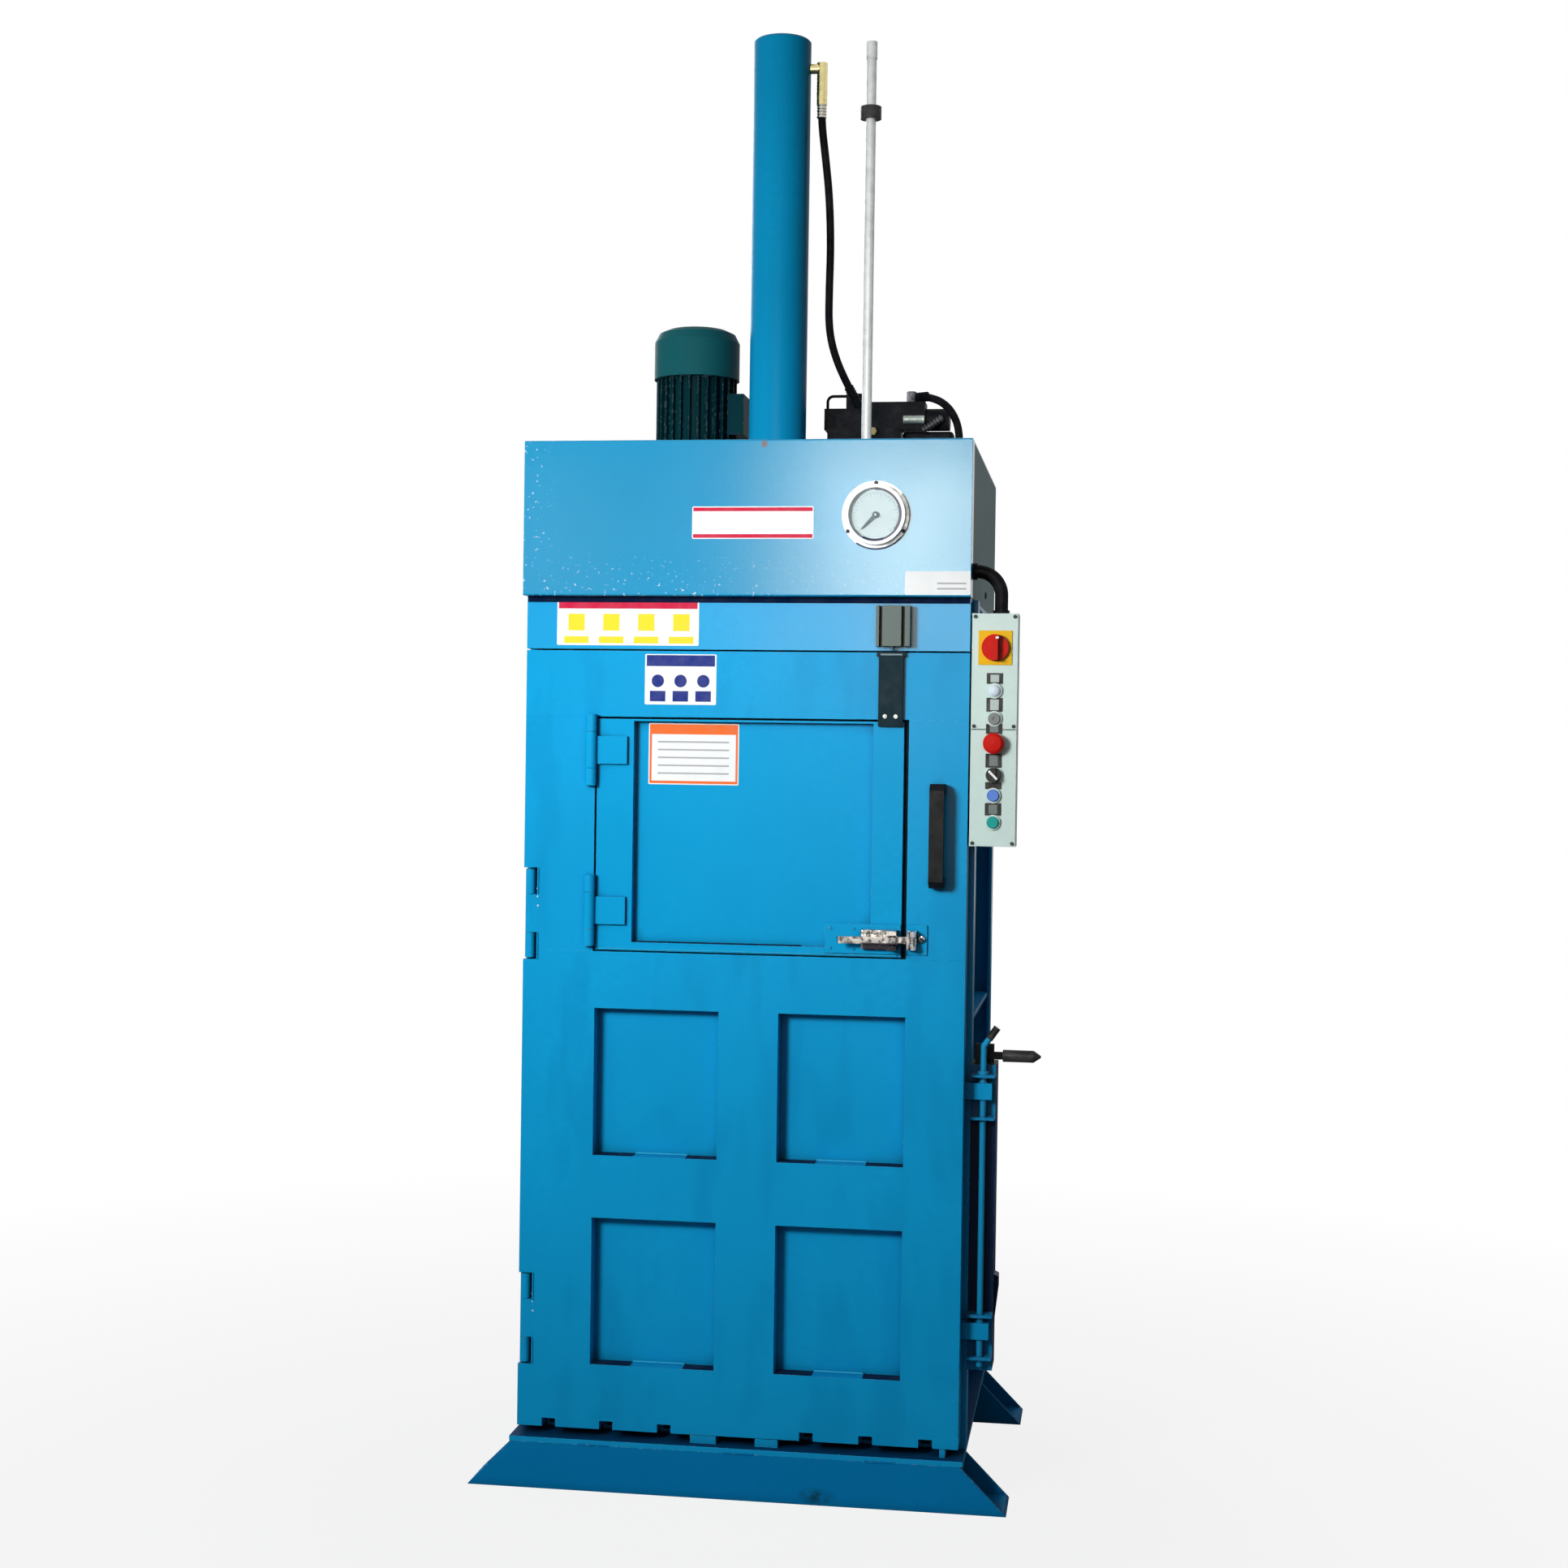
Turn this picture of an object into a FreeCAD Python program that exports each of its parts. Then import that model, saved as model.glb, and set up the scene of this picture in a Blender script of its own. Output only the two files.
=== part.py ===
import FreeCAD, Part
import math
import os
from collections import namedtuple

import Sketcher

# Upright recycling baler: a welded chamber on two feet, closed by one tall door with a small feed
# door in it, a hydraulic ram on top, a power pack beside it and a control box on the right.
# Millimetres, +Z up. The origin is on the floor, in the machine's middle plane, under the front
# face of the tall door; X runs to the right of someone facing that door and Y runs away from them.

Vector = FreeCAD.Vector
doc = FreeCAD.newDocument("Baler")
sheet = doc.addObject("Spreadsheet::Sheet", "Sizes")


# ---------------------------------------------------------------- sizes that stay tied together

class Size:
    """A length with its number and the formula that ties it to the size sheet."""

    def __init__(self, number, formula):
        self.number = number
        self.formula = formula

    def joined(self, other, sign, number):
        return Size(number, "(%s %s %s)" % (self.formula, sign, formula_of(other)))

    def __add__(self, other):
        return self.joined(other, "+", self.number + number_of(other))

    def __sub__(self, other):
        return self.joined(other, "-", self.number - number_of(other))

    def __mul__(self, other):
        return self.joined(other, "*", self.number * number_of(other))

    def __truediv__(self, other):
        return self.joined(other, "/", self.number / number_of(other))

    def __neg__(self):
        return Size(-self.number, "(0 - %s)" % self.formula)

    def __radd__(self, other):
        return Size(other, repr(other)) + self

    def __rsub__(self, other):
        return Size(other, repr(other)) - self

    def __rmul__(self, other):
        return self * other


def number_of(value):
    return value.number if isinstance(value, Size) else value


def formula_of(value):
    return value.formula if isinstance(value, Size) else repr(value)


sheet_rows = []


def size(alias, number):
    """Writes one driving size into the sheet and returns it."""
    sheet_rows.append(alias)
    row = len(sheet_rows)
    sheet.set("A%d" % row, alias)
    sheet.set("B%d" % row, str(number))
    sheet.setAlias("B%d" % row, alias)
    return Size(number, "Sizes.%s" % alias)


def bind(thing, prop, value):
    if isinstance(value, Size):
        thing.setExpression(prop, value.formula)
    else:
        setattr(thing, prop, value)


def place(thing, corner, rotation=None):
    thing.Placement = FreeCAD.Placement(Vector(*[number_of(c) for c in corner]),
                                        rotation or FreeCAD.Rotation())
    for axis, value in zip("xyz", corner):
        if isinstance(value, Size):
            thing.setExpression("Placement.Base.%s" % axis, value.formula)
    return thing


# ---------------------------------------------------------------- plain solids and booleans

ALONG = {"X": FreeCAD.Rotation(Vector(0, 1, 0), 90),
         "Y": FreeCAD.Rotation(Vector(1, 0, 0), -90),
         "Z": FreeCAD.Rotation()}


def block(label, low, high):
    """A square-edged plate or bar between two corners."""
    solid = doc.addObject("Part::Box", label)
    for prop, a, b in zip(("Length", "Width", "Height"), low, high):
        bind(solid, prop, b - a)
    return place(solid, low)


def bar(label, start, radius, length, axis="Z"):
    """A round bar from the centre of its first end, along an axis."""
    solid = doc.addObject("Part::Cylinder", label)
    bind(solid, "Radius", radius)
    bind(solid, "Height", length)
    return place(solid, start, ALONG[axis])


def slanted_bar(label, start, end, radius):
    """A round bar from one point to another, at any slope."""
    along = Vector(*[number_of(b) - number_of(a) for a, b in zip(start, end)])
    solid = doc.addObject("Part::Cylinder", label)
    bind(solid, "Radius", radius)
    solid.Height = along.Length
    return place(solid, start, FreeCAD.Rotation(Vector(0, 0, 1), along))


def fused(label, parts):
    whole = doc.addObject("Part::MultiFuse", label)
    whole.Shapes = parts
    whole.Refine = True
    return whole


def cut(label, base, tools):
    tool = tools[0] if len(tools) == 1 else fused(label + "_tools", tools)
    rest = doc.addObject("Part::Cut", label)
    rest.Base = base
    rest.Tool = tool
    rest.Refine = True
    return rest


def inside(label, base, low, high):
    """What lies of a solid inside the box between two corners."""
    common = doc.addObject("Part::MultiCommon", label)
    common.Shapes = [base, block(label + "_box", low, high)]
    common.Refine = True
    return common


def group(label, parts):
    """Like pieces that share a node as separate solids."""
    whole = doc.addObject("Part::Compound", label)
    whole.Links = parts
    return whole


# ---------------------------------------------------------------- profiles, pads, pockets, turning

Disc = namedtuple("Disc", "x y radius")


EDGE_START = 1
DISC_CENTRE = 3


def hold_point(sketch, geometry, point, x, y):
    """Holds a point of one shape at its distances from both sketch axes, or on them."""
    for kind, axis, value in (("DistanceX", -2, x), ("DistanceY", -1, y)):
        if abs(number_of(value)) < 1e-9:
            sketch.addConstraint(Sketcher.Constraint("PointOnObject", geometry, point, axis))
            continue
        index = sketch.addConstraint(
            Sketcher.Constraint(kind, -1, 1, geometry, point, float(number_of(value))))
        if isinstance(value, Size):
            sketch.setExpression("Constraints[%d]" % index, value.formula)


def draw_loop(sketch, points):
    corners = [Vector(number_of(x), number_of(y), 0) for x, y in points]
    first = sketch.GeometryCount
    count = len(points)
    for i in range(count):
        sketch.addGeometry(Part.LineSegment(corners[i], corners[(i + 1) % count]), False)
    for i in range(count):
        sketch.addConstraint(Sketcher.Constraint("Coincident", first + i, 2,
                                                 first + (i + 1) % count, 1))
    for i, (x, y) in enumerate(points):
        hold_point(sketch, first + i, EDGE_START, x, y)


def draw_disc(sketch, disc):
    centre = Vector(number_of(disc.x), number_of(disc.y), 0)
    index = sketch.addGeometry(Part.Circle(centre, Vector(0, 0, 1), number_of(disc.radius)), False)
    radius = sketch.addConstraint(
        Sketcher.Constraint("Radius", index, float(number_of(disc.radius))))
    if isinstance(disc.radius, Size):
        sketch.setExpression("Constraints[%d]" % radius, disc.radius.formula)
    hold_point(sketch, index, DISC_CENTRE, disc.x, disc.y)


def origin_feature(body, role):
    return next(f for f in body.Origin.OriginFeatures if f.Role == role)


def sketch_on(body, plane, loops, offset=0):
    """A sketch on one of the body's own planes, moved along the way that the body grows."""
    sketch = body.newObject("Sketcher::SketchObject", body.Label + "_outline")
    sketch.AttachmentSupport = [(origin_feature(body, plane + "_Plane"), "")]
    sketch.MapMode = "FlatFace"
    along = -offset if plane == "XZ" else offset
    sketch.AttachmentOffset = FreeCAD.Placement(Vector(0, 0, number_of(along)),
                                                FreeCAD.Rotation())
    if isinstance(along, Size):
        sketch.setExpression("AttachmentOffset.Base.z", along.formula)
    for loop in loops:
        if isinstance(loop, Disc):
            draw_disc(sketch, loop)
        else:
            draw_loop(sketch, loop)
    return sketch


def add_pad(body, plane, loops, depth, offset=0):
    pad = body.newObject("PartDesign::Pad", body.Label + "_pad")
    pad.Profile = sketch_on(body, plane, loops, offset)
    bind(pad, "Length", depth)
    pad.Reversed = plane == "XZ"
    body.Tip = pad
    return pad


def add_pocket(body, plane, loops, depth, offset=0):
    pocket = body.newObject("PartDesign::Pocket", body.Label + "_pocket")
    pocket.Profile = sketch_on(body, plane, loops, offset)
    bind(pocket, "Length", depth)
    pocket.Reversed = plane != "XZ"
    body.Tip = pocket
    return pocket


def new_body(label, plane, start):
    """An empty body whose base lies at a distance along the way that it grows."""
    body = doc.addObject("PartDesign::Body", label)
    corner = {"XY": (0, 0, start), "XZ": (0, start, 0), "YZ": (start, 0, 0)}[plane]
    return place(body, corner)


def prism(label, plane, loops, start, depth):
    """A profile in one plane, padded along the third axis from start."""
    body = new_body(label, plane, start)
    add_pad(body, plane, loops, depth)
    return body


def turned(label, profile, centre, axis="Z"):
    """A profile of (radius, place along the axis) turned round that axis."""
    body = place(doc.addObject("PartDesign::Body", label), centre)
    plane = "XZ" if axis == "Z" else "XY"
    points = [(b, a) for a, b in profile] if axis == "X" else profile
    turn = body.newObject("PartDesign::Revolution", label + "_turn")
    sketch = sketch_on(body, plane, [points])
    turn.Profile = sketch
    turn.ReferenceAxis = (sketch, ["H_Axis" if axis == "X" else "V_Axis"])
    turn.Angle = 360
    body.Tip = turn
    return body


def rectangle(low_x, low_y, high_x, high_y):
    return [(low_x, low_y), (high_x, low_y), (high_x, high_y), (low_x, high_y)]


def round_edges(body, radius, wanted):
    """Fillets the edges of a body that the test picks out."""
    doc.recompute()
    tip = body.Tip
    names = ["Edge%d" % i for i, edge in enumerate(tip.Shape.Edges, 1) if wanted(edge)]
    fillet = body.newObject("PartDesign::Fillet", body.Label + "_round")
    fillet.Base = (tip, names)
    bind(fillet, "Radius", radius)
    body.Tip = fillet


def runs_along(edge, axis):
    """True where a straight edge lies along X, Y or Z."""
    ends = [v.Point for v in edge.Vertexes]
    if len(ends) != 2 or edge.Curve.TypeId != "Part::GeomLine":
        return False
    step = ends[1] - ends[0]
    return abs(abs(step["XYZ".index(axis)]) - step.Length) < 1e-6


# ---------------------------------------------------------------- feet and base plate

chamber_width = size("chamber_width", 784)
jamb_face = size("jamb_face", 43)
base_width = chamber_width + 2 * jamb_face
foot_overhang = size("foot_overhang", 82)
foot_length = base_width + 2 * foot_overhang
foot_height = size("foot_height", 88)
foot_depth = size("foot_depth", 120)
foot_wall = size("foot_wall", 6)
foot_lead = size("foot_lead", 19)
foot_pitch = size("foot_pitch", 600)
foot_slope_inset = size("foot_slope_inset", 6)
foot_slope_run = foot_overhang + foot_slope_inset

base_thickness = size("base_thickness", 10)
base_top = foot_height + base_thickness


def foot(label, front):
    """A box tube with both ends cut off at a slope, longest at the floor."""
    half = foot_length / 2
    body = new_body(label, "XZ", front)
    add_pad(body, "XZ", [[(-half, 0), (half, 0), (half - foot_slope_run, foot_height),
                          (foot_slope_run - half, foot_height)]], foot_depth)
    add_pocket(body, "YZ", [rectangle(foot_wall, foot_wall, foot_depth - foot_wall,
                                      foot_height - foot_wall)], foot_length, -half)
    return body


group("feet", [foot("front_foot", -foot_lead), foot("rear_foot", foot_pitch - foot_lead)])

# The base plate lies on both feet. Three low rests on its front edge carry the shut door.
door_margin = size("door_margin", 10)
door_width = base_width - 2 * door_margin
door_clearance = size("door_clearance", 16)
door_height = size("door_height", 1492)
door_thickness = size("door_thickness", 60)
door_bottom = base_top + door_clearance
door_top = door_bottom + door_height
rest_gap = size("rest_gap", 1)
rest_depth = size("rest_depth", 34)
left_rest = size("left_rest", 61)
right_rest = size("right_rest", 61)
edge_rest_inset = size("edge_rest_inset", 30)
left_rest_width = size("left_rest_width", 50)
right_rest_width = size("right_rest_width", 44)
edge_rest_width = size("edge_rest_width", 11)
rest_places = (-left_rest, right_rest, door_width / 2 - edge_rest_inset)
rest_widths = (left_rest_width, right_rest_width, edge_rest_width)

base_sheet = block("base_sheet", (-base_width / 2, -foot_lead, foot_height),
                   (base_width / 2, foot_pitch + foot_depth - foot_lead, base_top))
rests = [block("door_rest", (x - wide / 2, rest_gap, base_top),
               (x + wide / 2, rest_gap + rest_depth, door_bottom - rest_gap))
         for x, wide in zip(rest_places, rest_widths)]
fused("base_plate", [base_sheet] + rests)

# ---------------------------------------------------------------- bale chamber

wall = size("wall", 6)
jamb_gap = size("jamb_gap", 2.5)
body_front = door_thickness + jamb_gap
rear_setback = size("rear_setback", 7)
body_rear = foot_pitch + foot_depth - foot_lead - rear_setback
jamb_return = size("jamb_return", 50)
header_gap = size("header_gap", 3)
header_height = size("header_height", 100)
header_low = door_top + header_gap
roof_level = header_low + header_height
rib_thickness = size("rib_thickness", 8)
rib_pitch = size("rib_pitch", 400)
first_rib = size("first_rib", 501)
seat_gap = size("seat_gap", 0.3)

# The floor is one folded sheet with six channels, in which the strapping lies under a bale.
channel_width = size("channel_width", 26)
channel_depth = size("channel_depth", 26)
channel_pitch = size("channel_pitch", 113)
channel_edge = size("channel_edge", 29)
outer_channel = chamber_width / 2 - channel_edge
floor_height = size("floor_height", 32)
floor_top = base_top + floor_height
channel_places = [side * (outer_channel - i * channel_pitch)
                  for side, i in ((-1, 0), (-1, 1), (-1, 2), (1, 2), (1, 1), (1, 0))]
floor_margin = size("floor_margin", 1)
floor_half = chamber_width / 2 - floor_margin


def floor_profile():
    """The folded floor seen from the front: its upper line, then its lower line back again."""
    upper = [(-floor_half, base_top), (-floor_half, floor_top)]
    half = channel_width / 2
    for x in channel_places:
        upper += [(x - half, floor_top), (x - half, floor_top - channel_depth),
                  (x + half, floor_top - channel_depth), (x + half, floor_top)]
    upper += [(floor_half, floor_top), (floor_half, base_top)]
    under = floor_top - wall
    lower = [(floor_half - wall, base_top), (floor_half - wall, under)]
    for x in reversed(channel_places):
        lower += [(x + half + wall, under), (x + half + wall, base_top),
                  (x - half - wall, base_top), (x - half - wall, under)]
    lower += [(wall - floor_half, under), (wall - floor_half, base_top)]
    return upper + lower


prism("chamber_floor", "XZ", [floor_profile()], body_front + floor_margin,
      body_rear - wall - body_front - 2 * floor_margin)


def side_wall(label, side):
    """A wall sheet folded out at the front and rear, with flat ribs between the folds."""
    inner = side * chamber_width / 2
    skin = inner + side * wall
    outer = side * base_width / 2
    lip = outer - side * wall
    body = new_body(label, "XY", base_top)
    add_pad(body, "XY", [[(inner, body_front), (outer, body_front),
                          (outer, body_front + jamb_return), (lip, body_front + jamb_return),
                          (lip, body_front + wall), (skin, body_front + wall),
                          (skin, body_rear - wall), (lip, body_rear - wall),
                          (lip, body_rear - jamb_return), (outer, body_rear - jamb_return),
                          (outer, body_rear), (inner, body_rear)]], roof_level - base_top)
    rib = add_pad(body, "XY", [[(skin, body_front + wall), (lip, body_front + wall),
                                (lip, body_rear - wall), (skin, body_rear - wall)]],
                  rib_thickness, first_rib - base_top)
    row = body.newObject("PartDesign::LinearPattern", label + "_ribs")
    row.Originals = [rib]
    row.Direction = (origin_feature(body, "Z_Axis"), [""])
    bind(row, "Length", 3 * rib_pitch)
    row.Occurrences = 4
    body.Tip = row
    return body


side_wall("left_side_wall", -1)

# The right wall also carries the plate on which the control box is hung.
hanger_reach = size("hanger_reach", 70)
hanger_drop = size("hanger_drop", 89)
hanger_high = roof_level - hanger_drop
hanger_height = size("hanger_height", 320)
hanger_low = hanger_high - hanger_height
hanger_thickness = size("hanger_thickness", 4)
fused("right_side_wall",
      [side_wall("right_wall_sheet", 1),
       block("control_hanger", (base_width / 2, body_front, hanger_low),
             (base_width / 2 + hanger_reach, body_front + hanger_thickness, hanger_high))])

# The rear wall fits between the side walls and is stiffened by two folded hat sections.
hat_width = size("hat_width", 110)
hat_depth = size("hat_depth", 36)
hat_flank = size("hat_flank", 18)
hat_place = size("hat_place", 190)


def hat_loop(centre, shrink):
    half = hat_width / 2 - shrink
    top = body_rear + hat_depth - shrink
    return [(centre - half, body_rear), (centre - half + hat_flank, top),
            (centre + half - hat_flank, top), (centre + half, body_rear)]


rear_wall = new_body("rear_wall", "XY", base_top)
add_pad(rear_wall, "XY", [rectangle(floor_margin - chamber_width / 2, body_rear - wall,
                                    chamber_width / 2 - floor_margin, body_rear)],
        roof_level - base_top)
for hat_side in (-1, 1):
    add_pad(rear_wall, "XY", [hat_loop(hat_side * hat_place, 0)], roof_level - base_top)
    add_pocket(rear_wall, "XY", [hat_loop(hat_side * hat_place, wall)], roof_level - base_top)

# The header is a channel across the front, above the door.
prism("header_panel", "YZ",
      [[(0, header_low), (body_front, header_low), (body_front, header_low + wall),
        (wall, header_low + wall), (wall, roof_level - wall), (body_front, roof_level - wall),
        (body_front, roof_level), (0, roof_level)]], -door_width / 2, door_width)

# The crown carries the ram: a plate between the walls with two upright ribs.
ram_forward = size("ram_forward", 18.25)
cylinder_back = (body_front + body_rear) / 2 - ram_forward
crown_thickness = size("crown_thickness", 20)
crown_rib = size("crown_rib", 12)
crown_rib_height = size("crown_rib_height", 80)
crown_rib_spacing = size("crown_rib_spacing", 190)
crown_rear = body_rear - wall
rib_low = cylinder_back - crown_rib_spacing / 2
rib_high = cylinder_back + crown_rib_spacing / 2
crown = prism("crown_beam", "YZ",
              [[(body_front, roof_level - crown_thickness),
                (crown_rear, roof_level - crown_thickness),
                (crown_rear, roof_level), (rib_high, roof_level),
                (rib_high, roof_level + crown_rib_height),
                (rib_high - crown_rib, roof_level + crown_rib_height),
                (rib_high - crown_rib, roof_level), (rib_low + crown_rib, roof_level),
                (rib_low + crown_rib, roof_level + crown_rib_height),
                (rib_low, roof_level + crown_rib_height), (rib_low, roof_level),
                (body_front, roof_level)]], -chamber_width / 2, chamber_width)

# ---------------------------------------------------------------- ram

rod_radius = size("ram_rod_radius", 30)
bore_radius = size("cylinder_bore_radius", 49)
tube_radius = size("cylinder_tube_radius", 58.5)
cylinder_length = size("cylinder_length", 1160)
cylinder_top = roof_level + cylinder_length
cylinder_end = size("cylinder_end_thickness", 20)
gland_length = size("gland_length", 60)
flange_radius = size("cylinder_flange_radius", 82)
flange_thickness = size("cylinder_flange_thickness", 22)
fit_gap = size("running_clearance", 0.05)
edge_break = size("edge_break", 4)

rod_hole_gap = size("rod_hole_gap", 6)
indicator_x = size("indicator_x", 190)
indicator_forward = size("indicator_forward", 60)
indicator_y = cylinder_back - indicator_forward
indicator_radius = size("indicator_radius", 10)
indicator_gap = size("indicator_gap", 2)
indicator_drop = size("indicator_drop", 26)
indicator_top = cylinder_top - indicator_drop
bore_top = cylinder_top - cylinder_end

add_pocket(crown, "XY", [Disc(chamber_width / 2, cylinder_back, rod_radius + rod_hole_gap),
                         Disc(chamber_width / 2 + indicator_x, indicator_y,
                              indicator_radius + indicator_gap)],
           crown_thickness, roof_level - crown_thickness)

barrel = turned("cylinder_barrel",
                [(rod_radius + fit_gap, 0), (flange_radius, 0),
                 (flange_radius, flange_thickness), (tube_radius, flange_thickness),
                 (tube_radius, cylinder_top - roof_level - edge_break),
                 (tube_radius - edge_break, cylinder_top - roof_level),
                 (0, cylinder_top - roof_level), (0, bore_top - roof_level),
                 (bore_radius, bore_top - roof_level), (bore_radius, gland_length),
                 (rod_radius + fit_gap, gland_length)],
                (0, cylinder_back, roof_level))

# The heads of its four bolts are one with the flange that they hold down.
bolt_circle = size("flange_bolt_circle", 142)
bolt_radius = size("flange_bolt_radius", 9)
bolt_height = size("flange_bolt_height", 9)
flange_bolts = []
for step in range(4):
    turn = math.radians(45 + 90 * step)
    flange_bolts.append(bar("flange_bolt", (bolt_circle * (math.cos(turn) / 2),
                                            cylinder_back + bolt_circle * (math.sin(turn) / 2),
                                            roof_level + flange_thickness),
                            bolt_radius, bolt_height))
fused("cylinder_tube", [barrel] + flange_bolts)

# Platen: a grooved plate with upright ribs, hung on the end of the ram rod.
platen_drop = size("platen_drop", 209)
platen_rest = roof_level - platen_drop
platen_plate = size("platen_plate", 22)
platen_height = size("platen_height", 90)
platen_side_gap = size("platen_side_gap", 10)
groove_depth = size("platen_groove_depth", 12)
platen_rib = size("platen_rib", 12)
platen_boss_radius = size("platen_boss_radius", 60)
platen_half = chamber_width / 2 - platen_side_gap
platen_front = body_front + platen_side_gap
platen_rear = body_rear - wall - platen_side_gap
platen_top = platen_rest + platen_height

platen_line = [(-platen_half, platen_rest)]
for groove in channel_places:
    platen_line += [(groove - channel_width / 2, platen_rest),
                    (groove - channel_width / 2, platen_rest + groove_depth),
                    (groove + channel_width / 2, platen_rest + groove_depth),
                    (groove + channel_width / 2, platen_rest)]
platen_line += [(platen_half, platen_rest), (platen_half, platen_rest + platen_plate),
                (-platen_half, platen_rest + platen_plate)]
platen = prism("platen", "XZ", [platen_line], platen_front, platen_rear - platen_front)
rib_foot = platen_rest + platen_plate
rib_rise = platen_top - rib_foot
back_of = cylinder_back - platen_front
for rib_y in (back_of - crown_rib_spacing / 2, back_of + crown_rib_spacing / 2):
    add_pad(platen, "XY", [rectangle(-platen_half, rib_y - platen_rib / 2,
                                     platen_half, rib_y + platen_rib / 2)],
            rib_rise, rib_foot)
for rib_x in (-hat_place, hat_place):
    add_pad(platen, "XY", [rectangle(rib_x - platen_rib / 2, platen_side_gap,
                                     rib_x + platen_rib / 2,
                                     platen_rear - platen_front - platen_side_gap)],
            rib_rise, rib_foot)
add_pad(platen, "XY", [Disc(0, back_of, platen_boss_radius)], rib_rise, rib_foot)
add_pad(platen, "XY", [Disc(indicator_x, indicator_y - platen_front,
                            indicator_radius * 2)], rib_rise, rib_foot)

# The ram rod with its piston is one turned piece that stands on the platen's boss.
piston_length = size("piston_length", 40)
piston_gap = size("piston_top_gap", 12)
piston_top = bore_top - piston_gap
turned("ram_rod",
       [(0, 0), (rod_radius, 0), (rod_radius, piston_top - piston_length - platen_top),
        (bore_radius - fit_gap, piston_top - piston_length - platen_top),
        (bore_radius - fit_gap, piston_top - platen_top), (0, piston_top - platen_top)],
       (0, cylinder_back, platen_top))

# The bale-size indicator: a tube that rides on the platen and shows through the roof.
indicator_wall = size("indicator_wall", 2.5)
sleeve_length = size("indicator_sleeve", 34)
sleeve_step = size("indicator_sleeve_step", 1.2)
collar_drop = size("collar_drop", 130)
collar_top = indicator_top - collar_drop
collar_height = size("collar_height", 24)
collar_radius = size("collar_radius", 21)
turned("indicator_rod",
       [(indicator_radius - indicator_wall, 0), (indicator_radius, 0),
        (indicator_radius, indicator_top - sleeve_length - platen_top),
        (indicator_radius + sleeve_step, indicator_top - sleeve_length - platen_top),
        (indicator_radius + sleeve_step, indicator_top - platen_top),
        (indicator_radius - indicator_wall, indicator_top - platen_top)],
       (indicator_x, indicator_y, platen_top))
turned("rod_collar",
       [(indicator_radius + fit_gap, 0), (collar_radius, 0), (collar_radius, collar_height),
        (indicator_radius + fit_gap, collar_height)],
       (indicator_x, indicator_y, collar_top - collar_height))

# ---------------------------------------------------------------- roof cover

cover_margin = size("cover_margin", 8.5)
cover_width = base_width - 2 * cover_margin
cover_height = size("cover_height", 294)
cover_top = roof_level + cover_height
cover_lead = size("cover_lead", 30)
cover_overhang = size("cover_overhang", 41)
cover_rear = body_rear + cover_overhang
cover_sheet = size("cover_sheet", 3)
cover_return = size("cover_return", 22)
front_return = size("front_cover_return", 50)
front_end = front_return - cover_lead
cover_half = cover_width / 2

# The front cover is one folded sheet, a shallow pan with its open side to the rear.
front_cover = new_body("front_cover", "XZ", -cover_lead)
add_pad(front_cover, "XZ", [rectangle(-cover_half, roof_level, cover_half, cover_top)],
        front_return)
round_edges(front_cover, cover_sheet, lambda edge: runs_along(edge, "X") and
            abs(edge.Vertexes[0].Point.y) < 1)
add_pocket(front_cover, "XZ", [rectangle(cover_sheet - cover_half, roof_level + cover_sheet,
                                         cover_half - cover_sheet, cover_top - cover_sheet)],
           front_return - cover_sheet, cover_sheet)


def side_cover(label, side):
    """A side sheet with a fold along its top and its bottom."""
    outer = side * cover_half
    inner = outer - side * cover_sheet
    lip = outer - side * cover_return
    sheet_top = cover_top - cover_sheet
    return prism(label, "XZ",
                 [[(outer, roof_level), (outer, sheet_top), (lip, sheet_top),
                   (lip, sheet_top - cover_sheet), (inner, sheet_top - cover_sheet),
                   (inner, roof_level + cover_sheet), (lip, roof_level + cover_sheet),
                   (lip, roof_level)]], front_end, cover_rear - front_end)


group("side_covers", [side_cover("left_side_cover", -1), side_cover("right_side_cover", 1)])

# The deck closes the cover and carries the motor and the valves. A bush guides the indicator.
tank_gap = size("tank_gap", 31.5)
tank_x = tank_gap - cover_half
tank_forward = size("tank_forward", 35)
tank_y = cylinder_back - tank_forward
motor_in_tank_x = size("motor_in_tank_x", 209)
motor_x = tank_x + motor_in_tank_x
motor_in_tank_y = size("motor_in_tank_y", 125)
motor_y = tank_y + motor_in_tank_y
shaft_radius = size("motor_shaft_radius", 12)
bush_radius = size("bush_radius", 22)
bush_height = size("bush_height", 12)
bush_gap = size("bush_gap", 0.08)
deck = prism("top_deck", "XY",
             [rectangle(-cover_half, front_end, cover_half, cover_rear),
              Disc(0, cylinder_back, tube_radius + indicator_gap),
              Disc(motor_x, motor_y, shaft_radius + indicator_gap)],
             cover_top - cover_sheet, cover_sheet)
add_pad(deck, "XY", [Disc(indicator_x, indicator_y, bush_radius)],
        bush_height + cover_sheet, 0)
add_pocket(deck, "XY", [Disc(indicator_x, indicator_y, indicator_radius + bush_gap)],
           bush_height + cover_sheet, 0)

# ---------------------------------------------------------------- power pack

tank_width = size("tank_width", 290)
tank_depth = size("tank_depth", 360)
tank_height = size("tank_height", 178)
tank_wall = size("tank_wall", 3)
tank_low = cover_top - cover_sheet - tank_height
tank = new_body("oil_tank", "XY", tank_low)
add_pad(tank, "XY", [rectangle(tank_x, tank_y, tank_x + tank_width, tank_y + tank_depth)],
        tank_height)
round_edges(tank, edge_break, lambda edge: runs_along(edge, "Z"))
add_pocket(tank, "XY", [rectangle(tank_x + tank_wall, tank_y + tank_wall,
                                  tank_x + tank_width - tank_wall,
                                  tank_y + tank_depth - tank_wall)],
           tank_height - tank_wall, tank_wall)

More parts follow.
